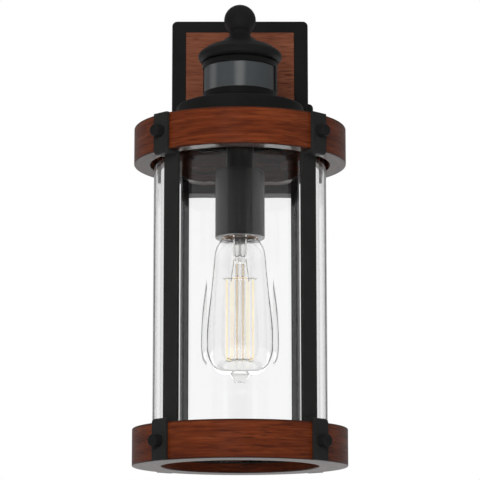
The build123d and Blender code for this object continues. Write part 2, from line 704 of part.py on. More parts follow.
def make_top_plate():
    plate = disc(top_plate_radius, top_plate_bottom, upper_ring_top)
    plate -= disc(NIPPLE_RADIUS + SCREW_CLEARANCE, top_plate_bottom, upper_ring_top)
    hole = Cylinder(SMALL_SCREW_RADIUS + SCREW_CLEARANCE, TOP_PLATE_THICKNESS, align=UPRIGHT)
    for radius in (top_screw_radius, drum_boss_circle):
        plate -= screw_ring(hole, radius, top_plate_bottom)
    return plate


def make_top_plate_screws():
    shank = TOP_PLATE_THICKNESS + TOP_PLATE_SCREW_BITE
    one = screw(SMALL_HEAD_RADIUS, SMALL_HEAD_HEIGHT, SMALL_SCREW_RADIUS, shank, SMALL_HEAD_ROUND)
    return screw_ring(one, top_screw_radius, upper_ring_top)


def make_drum():
    drum = disc(DRUM_RADIUS, upper_ring_top, drum_top)
    drum = fillet(round_edges(drum, DRUM_RADIUS, drum_top), min(DRUM_EDGE_ROUND, DRUM_TOP * ONE_EDGE_SHARE))
    drum -= disc(DRUM_RADIUS - DRUM_WALL, upper_ring_top, drum_ceiling)
    boss = Cylinder(DRUM_BOSS_RADIUS, drum_ceiling - upper_ring_top, align=UPRIGHT)
    depth = DRUM_SCREW_BITE + SLIP_CLEARANCE
    boss -= Cylinder(SMALL_SCREW_RADIUS + SCREW_CLEARANCE, depth, align=UPRIGHT)
    drum += screw_ring(boss, drum_boss_circle, upper_ring_top)
    drum -= arm_bar(SLIP_CLEARANCE, axis_distance - 2 * DRUM_RADIUS, arm_end)
    drum -= sensor_wire_hole(drum_ceiling, drum_top)
    for hole in sensor_screw_holes(drum_ceiling, drum_top):
        drum -= hole
    return drum


def make_drum_screws():
    shank = TOP_PLATE_THICKNESS + DRUM_SCREW_BITE
    one = screw(SMALL_HEAD_RADIUS, SMALL_HEAD_HEIGHT, SMALL_SCREW_RADIUS, shank, SMALL_HEAD_ROUND)
    return screw_ring(Rot(180, 0, 0) * one, drum_boss_circle, top_plate_bottom)


# Socket

def make_socket_neck():
    return tube(NECK_RADIUS, NECK_RADIUS - NECK_WALL, cup_top, top_plate_bottom)


def make_socket_cup():
    cup = disc(CUP_RADIUS, cup_mouth, cup_top)
    cup = fillet(round_edges(cup, CUP_RADIUS, cup_top), min(CUP_EDGE_ROUND, CUP_WALL * ONE_EDGE_SHARE))
    cup -= disc(CUP_RADIUS - CUP_WALL, cup_mouth, cup_top - CUP_WALL)
    return cup - disc(NIPPLE_RADIUS + SCREW_CLEARANCE, cup_top - CUP_WALL, cup_top)


def make_socket_ring():
    """Ring in the cup's mouth that holds the porcelain."""
    outer = CUP_RADIUS - CUP_WALL - SLIP_CLEARANCE
    ring = tube(outer, SOCKET_RING_BORE, cup_mouth, porcelain_bottom)
    ring_round = min(SOCKET_RING_ROUND, SOCKET_RING_THICKNESS * ONE_EDGE_SHARE)
    return fillet(round_edges(ring, SOCKET_RING_BORE, cup_mouth), ring_round)


def make_nipple():
    return tube(NIPPLE_RADIUS, NIPPLE_BORE, nipple_bottom, nipple_top)


def make_nipple_nuts():
    blank = RegularPolygon(NUT_ACROSS_FLATS / 2, 6, major_radius=False)
    nut = on_axis(extrude(blank - Circle(NIPPLE_RADIUS + SCREW_CLEARANCE), NUT_HEIGHT))
    return Pos(0, 0, porcelain_top) * nut + Pos(0, 0, tongue_top) * nut


def make_socket_porcelain():
    block = disc(CUP_RADIUS - CUP_WALL - SLIP_CLEARANCE, porcelain_bottom, porcelain_top)
    block -= disc(shell_outside + SLIP_CLEARANCE, porcelain_bottom, shell_top)
    return block - disc(CONTACT_CHAMBER_RADIUS, shell_top, chamber_top)


def make_socket_shell():
    shell_bottom = cup_mouth + SHELL_RECESS
    lip = tube(SOCKET_RING_BORE - SLIP_CLEARANCE, shell_inside, shell_bottom, shell_bottom + SHELL_WALL)
    return lip + tube(shell_outside, shell_inside, shell_bottom, shell_top)


def make_socket_contact():
    foot = disc(CONTACT_FOOT_RADIUS, chamber_top - CONTACT_FOOT, chamber_top)
    return foot + disc(CONTACT_RADIUS, tip_top + CONTACT_GAP, chamber_top)


def make_socket_leads():
    leads = []
    for side in (-1, 1):
        x = side * LEAD_SPACING / 2
        route = FilletPolyline(
            (x, 0, porcelain_top),
            (x, 0, nipple_top + LEAD_RUN_CLEAR),
            (x, WIRE_HOLE_Y, drum_ceiling - LEAD_RUN_CLEAR),
            (x, WIRE_HOLE_Y, relay_bottom),
            radius=LEAD_BEND,
        )
        section = Plane(origin=(x, 0, porcelain_top), z_dir=(0, 0, 1)) * Circle(LEAD_RADIUS)
        leads.append(in_sensor(sweep(section, path=route)))
    return joined(leads)


# Bulb

def bulb_side():
    """Edges of the envelope's section from its neck to its lowest point, on the outside."""
    base = bulb_base_bottom
    neck_top = (bulb_neck_radius, bulb_neck_top)
    neck = (bulb_neck_radius, base)
    throat = (BULB_THROAT_RADIUS, base - BULB_THROAT_DROP)
    shoulder = (BULB_SHOULDER_RADIUS, base - BULB_SHOULDER_DROP)
    chest = (BULB_CHEST_RADIUS, base - BULB_CHEST_DROP)
    flank = (BULB_FLANK_RADIUS, base - BULB_FLANK_DROP)
    side = (BULB_SIDE_RADIUS, base - BULB_SIDE_DROP)
    belly = (BULB_BELLY_RADIUS, base - BULB_BELLY_DROP)
    hip = (BULB_HIP_RADIUS, base - BULB_HIP_DROP)
    heel = (BULB_HEEL_RADIUS, base - BULB_HEEL_DROP)
    sole = (BULB_SOLE_RADIUS, base - BULB_SOLE_DROP)
    foot = (BULB_FOOT_RADIUS, base - BULB_FOOT_DROP)
    bottom = (0, base - BULB_LENGTH)
    return [
        Line(neck_top, neck),
        Spline(neck, throat, shoulder, chest, flank, side, belly, hip, heel, sole, foot),
        Line(foot, bottom),
    ]


def inside_of(edge):
    """Smooth line that runs one wall inside a curved edge of the envelope's section."""
    points = []
    for step in range(BULB_INSIDE_STEPS + 1):
        share = step / BULB_INSIDE_STEPS
        along = edge % share
        points.append(edge @ share + BULB_WALL * Vector(along.Y, -along.X))
    return Spline(*points)


def make_bulb_pip(shrink, share):
    """Tapered tip below the envelope's floor, or with a shrink and a share of its end the hollow in it."""
    floor_rise = (BULB_LENGTH - BULB_FOOT_DROP) / BULB_FOOT_RADIUS
    pip_bottom = bulb_base_bottom - BULB_LENGTH - BULB_PIP_LENGTH
    pip_height = BULB_PIP_LENGTH + BULB_PIP_RADIUS * floor_rise + BULB_WALL / 2
    pip_end = BULB_PIP_END * share
    pip = Cone(pip_end, BULB_PIP_RADIUS - shrink, pip_height, align=UPRIGHT)
    pip = on_axis(Pos(0, 0, pip_bottom + shrink) * pip)
    pip_round = min(BULB_PIP_ROUND * share, pip_end * ONE_EDGE_SHARE)
    return fillet(round_edges(pip, pip_end, pip_bottom + shrink), pip_round)


def make_bulb_glass():
    outer = bulb_side()
    side = inside_of(outer[1])
    neck = (bulb_neck_radius - BULB_WALL, bulb_base_bottom)
    foot = side @ 1
    floor_rise = (BULB_LENGTH - BULB_FOOT_DROP) / BULB_FOOT_RADIUS
    inner = [
        Line((bulb_neck_radius - BULB_WALL, bulb_neck_top), neck),
        Line(neck, side @ 0),
        side,
        Line(foot, (0, foot.Y - foot.X * floor_rise)),
    ]
    rim = Line(outer[0] @ 0, inner[0] @ 0)
    core = Line(outer[-1] @ 1, inner[-1] @ 1)
    envelope = turned(*outer, core, *inner, rim)
    return envelope + make_bulb_pip(0, 1) - make_bulb_pip(BULB_WALL, BULB_PIP_HOLLOW)


def make_bulb_base():
    base = disc(BULB_BASE_RADIUS, bulb_base_bottom, bulb_base_top)
    base = fillet(round_edges(base, BULB_BASE_RADIUS, bulb_base_top), BULB_BASE_WALL)
    base -= disc(BULB_BASE_RADIUS - BULB_BASE_WALL, bulb_base_bottom, bulb_base_top - BULB_BASE_WALL)
    return base - disc(BULB_TIP_RADIUS, bulb_base_bottom, bulb_base_top)


def make_bulb_insulator():
    taper = Cone(BULB_INSULATOR_RADIUS, BULB_TIP_RADIUS, BULB_INSULATOR_LENGTH, align=UPRIGHT)
    return on_axis(Pos(0, 0, bulb_base_top) * taper)


def make_bulb_tip_contact():
    tip = disc(BULB_TIP_RADIUS, tip_bottom, tip_top)
    tip_round = min(BULB_TIP_ROUND, BULB_TIP_LENGTH * ONE_EDGE_SHARE)
    return fillet(round_edges(tip, BULB_TIP_RADIUS, tip_top), tip_round)


def make_bulb_stem():
    flare_radius = bulb_neck_radius - BULB_WALL - SLIP_CLEARANCE
    flare_bottom = bulb_neck_top - STEM_FLARE
    stem = disc(flare_radius, flare_bottom, bulb_neck_top)
    taper = Cone(STEM_RADIUS, flare_radius, STEM_TAPER, align=UPRIGHT)
    stem += on_axis(Pos(0, 0, flare_bottom - STEM_TAPER) * taper)
    stem += disc(STEM_RADIUS, stem_end, flare_bottom - STEM_TAPER)
    return stem + disc(STEM_ROD_RADIUS, bulb_base_bottom - STEM_ROD_LENGTH, stem_end)


def filament_bridges():
    """Pairs of azimuths of neighbouring strands: those joined at the foot and those joined at the top."""
    step = (360 - FILAMENT_OPENING) / (FILAMENT_STRANDS - 1)
    azimuths = [180 + FILAMENT_OPENING / 2 + index * step for index in range(FILAMENT_STRANDS)]
    pairs = list(zip(azimuths, azimuths[1:]))
    return pairs[0::2], pairs[1::2]


def make_filament():
    """Upright strands in a ring, joined to one wire by bridges at the foot and at the top."""
    radius = FILAMENT_THICKNESS / 2
    at_foot, at_top = filament_bridges()
    pieces = []
    for azimuth in [azimuth for pair in at_foot for azimuth in pair]:
        foot = around(FILAMENT_RADIUS, azimuth, filament_foot, axis=0)
        top = around(FILAMENT_RADIUS, azimuth, filament_top, axis=0)
        pieces += [rod_between(foot, top, radius), Pos(*foot) * Sphere(radius), Pos(*top) * Sphere(radius)]
    for pairs, height in ((at_foot, filament_foot), (at_top, filament_top)):
        for first, second in pairs:
            start = around(FILAMENT_RADIUS, first, height, axis=0)
            pieces.append(rod_between(start, around(FILAMENT_RADIUS, second, height, axis=0), radius))
    return on_axis(pieces[0].fuse(*pieces[1:]))


def make_filament_supports():
    """Star of wires over the filament and another below it, each on a bead round the stem's rod."""
    reach = FILAMENT_THICKNESS / 2 + SUPPORT_WIRE_RADIUS + SCREW_CLEARANCE
    at_foot, at_top = filament_bridges()
    stars = []
    for pairs, height in ((at_top, filament_top + reach), (at_foot, filament_foot - reach)):
        low = height - SUPPORT_BEAD_HEIGHT / 2
        star = disc(SUPPORT_BEAD_RADIUS, low, low + SUPPORT_BEAD_HEIGHT)
        for first, second in pairs:
            tip = around(SUPPORT_TIP_RADIUS, (first + second) / 2, height)
            star += rod_between((0, -axis_distance, height), tip, SUPPORT_WIRE_RADIUS)
        stars.append(star - disc(STEM_ROD_RADIUS + SCREW_CLEARANCE, low, low + SUPPORT_BEAD_HEIGHT))
    return joined(stars)


def make_lead_wires():
    """Two wires from the sides of the stem to the ends of the filament, beside its opening."""
    clear = FILAMENT_THICKNESS / 2 + LEAD_IN_RADIUS + SCREW_CLEARANCE
    shift = degrees(clear / FILAMENT_RADIUS)
    start_x = STEM_RADIUS + LEAD_IN_RADIUS + SCREW_CLEARANCE
    wires = []
    for side in (-1, 1):
        start = (side * start_x, -axis_distance, stem_end + STEM_RADIUS)
        end = around(FILAMENT_RADIUS, 180 - side * (FILAMENT_OPENING / 2 - shift), filament_top)
        wires.append(rod_between(start, end, LEAD_IN_RADIUS))
    return joined(wires)


# Motion sensor

def sensor_wire_hole(bottom, top):
    """Way for the socket's leads, up from the drum into the sensor."""
    hole = Pos(0, WIRE_HOLE_Y, bottom) * Cylinder(WIRE_HOLE_RADIUS, top - bottom, align=UPRIGHT)
    return in_sensor(hole)


def sensor_screw_holes(bottom, top):
    """Holes for the two screws that hold the sensor's base on the drum."""
    hole = Cylinder(SMALL_SCREW_RADIUS + SCREW_CLEARANCE, top - bottom, align=UPRIGHT)
    return [in_sensor(Pos(side * SENSOR_SCREW_X, SENSOR_SCREW_Y, bottom) * hole) for side in (-1, 1)]


def make_sensor_base():
    base = disc(SENSOR_RADIUS, drum_top, lens_bottom)
    for height in (drum_top, lens_bottom):
        base = fillet(round_edges(base, SENSOR_RADIUS, height), SENSOR_EDGE_ROUND)
    base -= disc(SENSOR_RADIUS - SENSOR_BASE_RIM, base_floor_top, lens_bottom)
    base -= sensor_wire_hole(drum_top, base_floor_top)
    for hole in sensor_screw_holes(drum_top, drum_top + SENSOR_SCREW_BITE + SLIP_CLEARANCE):
        base -= hole
    groove = Box(BOARD_WIDTH + 2 * SLIP_CLEARANCE, BOARD_THICKNESS + 2 * SLIP_CLEARANCE, BOARD_GROOVE)
    groove_height = base_floor_top - BOARD_GROOVE / 2
    return base - in_sensor(Pos(0, BOARD_FRONT + BOARD_THICKNESS / 2, groove_height) * groove)


def make_sensor_screws():
    shank = DRUM_TOP + SENSOR_SCREW_BITE
    one = screw(SMALL_HEAD_RADIUS, SMALL_HEAD_HEIGHT, SMALL_SCREW_RADIUS, shank, SMALL_HEAD_ROUND)
    one = Rot(180, 0, 0) * one
    places = [Pos(side * SENSOR_SCREW_X, SENSOR_SCREW_Y, drum_ceiling) for side in (-1, 1)]
    return joined([in_sensor(place * one) for place in places])


def front_sector(half_angle):
    """Wedge of the sensor in front of its axis, between two upright planes."""
    reach = 2 * SENSOR_RADIUS
    start = -90 - half_angle
    arc = CenterArc((0, 0), reach, start, 2 * half_angle)
    outline = make_face([Line((0, 0), arc @ 0), arc, Line(arc @ 1, (0, 0))])
    return in_sensor(Pos(0, 0, lens_bottom) * extrude(outline, LENS_HEIGHT))


def make_sensor_lens():
    pane = tube(LENS_RADIUS, LENS_RADIUS - LENS_WALL, lens_bottom, lens_top)
    return pane & front_sector(LENS_HALF_ANGLE)


def make_sensor_housing():
    shell = tube(SENSOR_RADIUS, SENSOR_RADIUS - HOUSING_WALL, lens_bottom, lens_top)
    shell -= front_sector(LENS_HALF_ANGLE + LENS_EDGE_GAP)
    collar = disc(COLLAR_RADIUS, lens_top, collar_top)
    for height in (lens_top, collar_top):
        collar = fillet(round_edges(collar, COLLAR_RADIUS, height), SENSOR_EDGE_ROUND)
    collar -= disc(LENS_RADIUS - LENS_WALL - SENSOR_EDGE_ROUND, lens_top, web_bottom)
    pad = Box(PAD_WIDTH, PAD_DEPTH, PAD_HEIGHT)
    pad_middle = SENSOR_RADIUS - PAD_DEPTH / 2
    housing = shell + collar + in_sensor(Pos(0, pad_middle, dial_height) * pad)
    shaft_hole = Rot(-90, 0, 0) * Cylinder(DIAL_SHAFT_RADIUS + SHAFT_CLEARANCE, 2 * PAD_DEPTH)
    roof_hole = Cylinder(SMALL_SCREW_RADIUS + SCREW_CLEARANCE, COLLAR_WEB, align=UPRIGHT)
    for side in (-1, 1):
        housing -= in_sensor(Pos(side * DIAL_SPACING / 2, pad_middle, dial_height) * shaft_hole)
        housing -= in_sensor(Pos(side * ROOF_SCREW_X, 0, web_bottom) * roof_hole)
    return housing


def make_sensor_board():
    bottom = base_floor_top - BOARD_GROOVE
    top = web_bottom - BOARD_TOP_GAP
    board = Box(BOARD_WIDTH, BOARD_THICKNESS, top - bottom, align=UPRIGHT)
    return in_sensor(Pos(0, BOARD_FRONT + BOARD_THICKNESS / 2, bottom) * board)


def forward(radius, length, x, height):
    """Round component on the front of the board."""
    stub = Rot(90, 0, 0) * Cylinder(radius, length, align=UPRIGHT)
    return in_sensor(Pos(x, BOARD_FRONT, height) * stub)


def make_pir_detector():
    height = (lens_bottom + lens_top) / 2
    can = forward(DETECTOR_RADIUS, DETECTOR_LENGTH, 0, height)
    return can + forward(DETECTOR_FLANGE_RADIUS, DETECTOR_FLANGE, 0, height)


def make_light_sensor():
    return forward(LIGHT_SENSOR_RADIUS, LIGHT_SENSOR_LENGTH, LIGHT_SENSOR_X, (lens_bottom + lens_top) / 2)


def make_relay():
    block = Box(RELAY_WIDTH, RELAY_DEPTH, RELAY_HEIGHT, align=UPRIGHT)
    return in_sensor(Pos(0, board_back + RELAY_DEPTH / 2, relay_bottom) * block)


def make_capacitor():
    can = Rot(-90, 0, 0) * Cylinder(CAPACITOR_RADIUS, CAPACITOR_LENGTH, align=UPRIGHT)
    x = RELAY_WIDTH / 2 + CAPACITOR_GAP + CAPACITOR_RADIUS
    return in_sensor(Pos(x, board_back, relay_bottom + RELAY_HEIGHT / 2) * can)


def make_potentiometers():
    block = Box(POT_SIZE - MOVING_GAP, POT_DEPTH, POT_SIZE)
    bore = Rot(-90, 0, 0) * Cylinder(DIAL_SHAFT_RADIUS + SHAFT_CLEARANCE, POT_DEPTH, align=UPRIGHT)
    block -= Pos(0, POT_FLOOR - POT_DEPTH / 2, 0) * bore
    places = [Pos(side * DIAL_SPACING / 2, board_back + POT_DEPTH / 2, dial_height) for side in (-1, 1)]
    return joined([in_sensor(place * block) for place in places])


def make_dial(side):
    """Knob with a screwdriver slot, on a shaft that reaches into its potentiometer."""
    shaft_start = board_back + POT_FLOOR + MOVING_GAP
    shaft = Cylinder(DIAL_SHAFT_RADIUS, dial_face - shaft_start, align=UPRIGHT)
    knob = Cylinder(DIAL_RADIUS, DIAL_THICKNESS, align=UPRIGHT)
    knob = chamfer(knob.edges().group_by(Axis.Z)[-1], min(DIAL_CHAMFER, DIAL_THICKNESS * TWO_EDGE_SHARE))
    slot = Box(DIAL_SLOT_WIDTH, 2 * DIAL_RADIUS, DIAL_SLOT_DEPTH, align=UPRIGHT)
    knob -= Pos(0, 0, DIAL_THICKNESS - DIAL_SLOT_DEPTH) * slot
    dial = shaft + Pos(0, 0, dial_face - shaft_start) * knob
    return in_sensor(Pos(side * DIAL_SPACING / 2, shaft_start, dial_height) * Rot(-90, 0, 0) * dial)


# Roof and finial

def make_sensor_roof():
    bead_middle = collar_top + ROOF_GROOVE + ROOF_BEAD_RADIUS
    bead_centre = ROOF_RADIUS - ROOF_BEAD_RADIUS
    crest_x = bead_centre + ROOF_BEAD_RADIUS * cos(radians(ROOF_CREST_ANGLE))
    crest_z = bead_middle + ROOF_BEAD_RADIUS * sin(radians(ROOF_CREST_ANGLE))
    crest_slope = (-sin(radians(ROOF_CREST_ANGLE)), cos(radians(ROOF_CREST_ANGLE)))
    underside = Polyline(
        (0, collar_top),
        (ROOF_SPIGOT_RADIUS, collar_top),
        (ROOF_SPIGOT_RADIUS, collar_top + ROOF_GROOVE),
        (bead_centre, collar_top + ROOF_GROOVE),
    )
    bead = ThreePointArc(underside @ 1, (ROOF_RADIUS, bead_middle), (crest_x, crest_z))
    ogee = Spline(
        (crest_x, crest_z),
        (ROOF_SHOULDER_RADIUS, collar_top + ROOF_SHOULDER_RISE),
        (ROOF_WAIST_RADIUS, collar_top + ROOF_WAIST_RISE),
        (ROOF_THROAT_RADIUS, collar_top + ROOF_THROAT_RISE),
        (ROOF_NECK_RADIUS, roof_neck),
        tangents=[crest_slope, (0, 1)],
    )
    closing = Polyline((ROOF_NECK_RADIUS, roof_neck), (0, roof_neck), (0, collar_top))
    roof = turned(underside, bead, ogee, closing)
    roof -= disc(ROOF_CAVITY_RADIUS, collar_top, collar_top + ROOF_CAVITY_DEPTH)
    boss = Cylinder(ROOF_BOSS_RADIUS, ROOF_CAVITY_DEPTH, align=UPRIGHT)
    pilot = Cylinder(SMALL_SCREW_RADIUS + SCREW_CLEARANCE, ROOF_SCREW_BITE + SLIP_CLEARANCE, align=UPRIGHT)
    for side in (-1, 1):
        roof += in_sensor(Pos(side * ROOF_SCREW_X, 0, collar_top) * boss)
        roof -= in_sensor(Pos(side * ROOF_SCREW_X, 0, collar_top) * pilot)
    stud_end = roof_neck - FINIAL_STUD_LENGTH - SLIP_CLEARANCE
    return roof - disc(FINIAL_STUD_RADIUS + SCREW_CLEARANCE, stud_end, roof_neck)


def make_roof_screws():
    shank = COLLAR_WEB + ROOF_SCREW_BITE
    one = screw(SMALL_HEAD_RADIUS, SMALL_HEAD_HEIGHT, SMALL_SCREW_RADIUS, shank, SMALL_HEAD_ROUND)
    one = Rot(180, 0, 0) * one
    return joined([in_sensor(Pos(side * ROOF_SCREW_X, 0, web_bottom) * one) for side in (-1, 1)])


def make_finial():
    bead_top = roof_neck + FINIAL_BEAD_HEIGHT
    bead = disc(FINIAL_BEAD_RADIUS, roof_neck, bead_top)
    for height in (roof_neck, bead_top):
        bead = fillet(round_edges(bead, FINIAL_BEAD_RADIUS, height), FINIAL_BEAD_HEIGHT * TWO_EDGE_SHARE)
    centre = bead_top - FINIAL_BEAD_SINK + sqrt(FINIAL_RADIUS**2 - FINIAL_BEAD_RADIUS**2)
    ball = on_axis(Pos(0, 0, centre) * Sphere(FINIAL_RADIUS))
    ball &= disc(2 * FINIAL_RADIUS, roof_neck, centre + FINIAL_RADIUS)
    stud = disc(FINIAL_STUD_RADIUS, roof_neck - FINIAL_STUD_LENGTH, bead_top)
    return bead + ball + stud


nodes = {
    "back_plate": make_back_plate(),
    "wood_panel": make_wood_panel(),
    "panel_screws": make_panel_screws(),
    "wall_gasket": make_wall_gasket(),
    "mounting_bar": make_mounting_bar(),
    "ground_screw": make_ground_screw(),
    "side_screw": make_side_screw(),
    "arm": make_arm(),
    "arm_screws": make_arm_screws(),
    "upper_ring": make_upper_ring(),
    "lower_ring": make_lower_ring(),
    "glass_cylinder": make_glass_cylinder(),
    "glass_seat": make_glass_seat(),
    "glass_top_gasket": make_glass_top_gasket(),
    "upper_strap_screws": make_strap_screws(upper_ring_bottom),
    "lower_strap_screws": make_strap_screws(lower_ring_bottom),
    "top_plate": make_top_plate(),
    "top_plate_screws": make_top_plate_screws(),
    "drum": make_drum(),
    "drum_screws": make_drum_screws(),
    "socket_neck": make_socket_neck(),
    "socket_cup": make_socket_cup(),
    "socket_ring": make_socket_ring(),
    "nipple": make_nipple(),
    "nipple_nuts": make_nipple_nuts(),
    "socket_porcelain": make_socket_porcelain(),
    "socket_shell": make_socket_shell(),
    "socket_contact": make_socket_contact(),
    "socket_leads": make_socket_leads(),
    "bulb_glass": make_bulb_glass(),
    "bulb_base": make_bulb_base(),
    "bulb_insulator": make_bulb_insulator(),
    "bulb_tip_contact": make_bulb_tip_contact(),
    "bulb_stem": make_bulb_stem(),
    "filament": make_filament(),
    "filament_supports": make_filament_supports(),
    "lead_wires": make_lead_wires(),
    "sensor_base": make_sensor_base(),
    "sensor_screws": make_sensor_screws(),
    "sensor_lens": make_sensor_lens(),
    "sensor_housing": make_sensor_housing(),
    "sensor_board": make_sensor_board(),
    "pir_detector": make_pir_detector(),
    "light_sensor": make_light_sensor(),
    "relay": make_relay(),
    "capacitor": make_capacitor(),
    "potentiometers": make_potentiometers(),
    "time_dial": make_dial(1),
    "sensitivity_dial": make_dial(-1),
    "sensor_roof": make_sensor_roof(),
    "roof_screws": make_roof_screws(),
    "finial": make_finial(),
}
for place, azimuth in strap_azimuths.items():
    nodes[f"strap_{place}"] = radial(make_strap(), azimuth)

os.makedirs("parts", exist_ok=True)
for name, shape in nodes.items():
    export_step(shape, f"parts/{name}.step")
print(f"{len(nodes)} nodes, lantern axis {axis_distance:.1f} mm in front of the wall")
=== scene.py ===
import json
from math import cos, pi, radians, sin

import bpy
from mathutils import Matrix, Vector

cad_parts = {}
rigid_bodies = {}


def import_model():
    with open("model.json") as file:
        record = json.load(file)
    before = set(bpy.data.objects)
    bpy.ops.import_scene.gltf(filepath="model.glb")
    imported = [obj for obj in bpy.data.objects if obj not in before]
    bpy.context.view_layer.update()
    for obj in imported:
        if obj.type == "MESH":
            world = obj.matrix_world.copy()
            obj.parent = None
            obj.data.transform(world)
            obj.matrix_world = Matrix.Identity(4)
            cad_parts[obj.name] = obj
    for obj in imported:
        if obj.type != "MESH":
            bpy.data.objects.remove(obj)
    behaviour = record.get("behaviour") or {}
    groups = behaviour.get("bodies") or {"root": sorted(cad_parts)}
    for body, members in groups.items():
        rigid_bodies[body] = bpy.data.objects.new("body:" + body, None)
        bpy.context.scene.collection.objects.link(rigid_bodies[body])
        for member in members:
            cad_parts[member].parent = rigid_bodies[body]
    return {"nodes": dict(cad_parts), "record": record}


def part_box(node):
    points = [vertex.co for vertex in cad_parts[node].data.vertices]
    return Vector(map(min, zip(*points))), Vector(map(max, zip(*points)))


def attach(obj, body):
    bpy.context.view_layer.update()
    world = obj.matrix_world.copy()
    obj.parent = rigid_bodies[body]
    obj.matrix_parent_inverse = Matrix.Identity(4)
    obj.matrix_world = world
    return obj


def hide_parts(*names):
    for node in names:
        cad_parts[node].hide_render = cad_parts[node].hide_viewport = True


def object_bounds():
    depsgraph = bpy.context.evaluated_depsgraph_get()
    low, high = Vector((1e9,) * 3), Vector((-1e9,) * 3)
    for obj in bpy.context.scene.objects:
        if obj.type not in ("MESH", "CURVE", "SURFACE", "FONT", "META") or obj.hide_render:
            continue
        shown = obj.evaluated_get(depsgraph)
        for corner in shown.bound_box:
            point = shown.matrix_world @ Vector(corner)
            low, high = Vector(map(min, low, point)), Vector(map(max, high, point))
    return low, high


# Outdoor wall lantern: its materials, fine pieces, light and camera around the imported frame, in metres.

# Frame, in an empty scene
for leftover in list(bpy.data.objects):
    bpy.data.objects.remove(leftover)
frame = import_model()
cad_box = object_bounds()
nodes = frame["nodes"]

# Places that the solids set
AXIS_Y = -0.115
RING_RADIUS = 0.0889
SENSOR_YAW = radians(-13)
SENSOR_BACK = 0.0315
base_low, base_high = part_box("bulb_base")
shell_low, shell_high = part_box("socket_shell")
filament_low, filament_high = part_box("filament")
stem_low, stem_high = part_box("bulb_stem")
dial_low, dial_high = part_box("time_dial")
STRAPS = [name for name in nodes if name.startswith("strap_") and "screw" not in name]
RING_ENDS = [corner.z for ring in ("upper_ring", "lower_ring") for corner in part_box(ring)]

# Camera
CAMERA_PLACE = (0, -2.0355, -0.4806)
CAMERA_PITCH = radians(10.167)
CAMERA_LENS = 175.1
CAMERA_SENSOR = 36

# Floor: the glow keeps it pale for the camera, and the sheen is what gloss shows of it behind the wall
FLOOR_DROP = 0.3
FLOOR_SIZE = 30
FLOOR_GLOW = 0.45
FLOOR_SHEEN = 0.5
FLOOR_SHEEN_START = 0.3
FLOOR_SHEEN_END = 1.2
FLOOR_CLOUD_SCALE = 2
FLOOR_DARK = (0.84, 0.84, 0.83)
FLOOR_LIGHT = (0.87, 0.87, 0.86)

# World: grey levels that gloss shows, with their places as shares of a half turn from the front
FRONT_END = 0.055
SIDE_START = 0.075
SIDE_END = 0.28
REAR_START = 0.42
FRONT_LEVEL = 0.05
SIDE_LEVEL = 0.2
REAR_LEVEL = 0.26
GLASS_FRONT_LEVEL = 0.1
GLASS_SIDE_LEVEL = 0.85
WORLD_ON_DIFFUSE = 0.04

# A ray's count of bounces is past this from the first bounce on
FIRST_BOUNCE = 0.5

# Sockets of a Mix node for colours
MIX_FIRST = 6
MIX_SECOND = 7
MIX_RESULT = 2

# Ranges of a noise value over which a colour or a gloss changes
NARROW = (0.35, 0.65)
WIDE = (0.3, 0.7)

# Wood: the scales are along the grain, through the wood and across the grain
LACQUER = {"Coat Weight": 0.3, "Coat Roughness": 0.13, "Coat IOR": 1.5, "Specular IOR Level": 0.15}
FIGURE_SCALE = (6, 30, 90)
STREAK_SCALE = (30, 300, 520)
PORE_SCALE = (64, 520, 860)
CLOUD_SCALE = 16
FIGURE_SHARE = 0.35
STREAK_SHARE = 0.65
WOOD_STOPS = (0.34, 0.5, 0.66)
WOOD_ROUGHNESS = (0.55, 0.45)
PORE_RANGE = (0.54, 0.68)
PORE_STRENGTH = 0.85
PORE_PATCHES = (0.35, 1.0)
PORE_DARK = (0.014, 0.004, 0.002)
PORE_LIGHT = (0.026, 0.008, 0.004)
PORE_DEPTH = 0.0001
# Darkening at the rings' flat ends: partly a dark edge finish, partly painted shade for the dark that a
# rounded edge reflects
EDGE_STAIN_AND_SHADE = 0.85
EDGE_NEAR = 0.0004
EDGE_FAR = 0.0018

# Sensor lens: painted highlights as upright paler bands, each with a middle and a half width, as shares of
# the lens from left to right
LENS_REACH = 1.6
LENS_DULL = (0.105, 0.118, 0.125)
LENS_HIGHLIGHT_GREY = (0.25, 0.26, 0.263)
LENS_HIGHLIGHT_BANDS = ((0.233, 0.02), (0.5, 0.018))
LENS_HIGHLIGHT_FADE = 0.04
LENS_CLOUD_SCALE = 30
LENS_HAZE = (0.9, 0.9, 0.9)

# Other surfaces
GREY_WARMTH = 0.97
MOTTLE_SCALE = 38
TARNISH_SCALE = (300, 300, 300)
GLASS_DRIFT_SCALE = 9
SPECKLE_HEIGHT = 0.00004
FILAMENT_DRIFT_SCALE = 110
FILAMENT_DRIFT_RANGE = (0.4, 0.6)
FILAMENT_PEACH = (1.0, 0.75, 0.5)
FILAMENT_YELLOW = (1.0, 0.88, 0.44)

# Screw thread of the bulb's base and the socket's shell
THREAD_PITCH = 0.003629
THREAD_STEPS = 96
THREAD_ROWS_PER_TURN = 10
BASE_RADIUS = 0.013
BASE_THREAD_DEPTH = 0.0007
BASE_SHEET = 0.0003
BASE_LID_HEIGHT = 0.0006
SHELL_RADIUS = 0.01332
SHELL_THREAD_DEPTH = 0.0003
SHELL_SHEET = 0.00015

# Wires in the bulb
FILAMENT_THICKNESS = 0.0007
FILAMENT_STRANDS = 8
FILAMENT_OPENING = radians(60)
FILAMENT_RADIUS = 0.0109
FILAMENT_BEND = 0.003
HOOK_THICKNESS = 0.0005
LEAD_THICKNESS = 0.0007
LEAD_START = 0.0028
LEAD_KNEE = 0.0036
LEAD_KNEE_DROP = 0.006
LEAD_LOOP = 0.003

# Glass in the bulb
BEAD_HALF_HEIGHT = 0.0009
NEAR_AXIS = 0.0001
ROD_DROP = 0.0311
ROD_RADIUS = 0.0011
ROD_END_RADIUS = 0.0007
ROD_END_TAPER = 0.0006

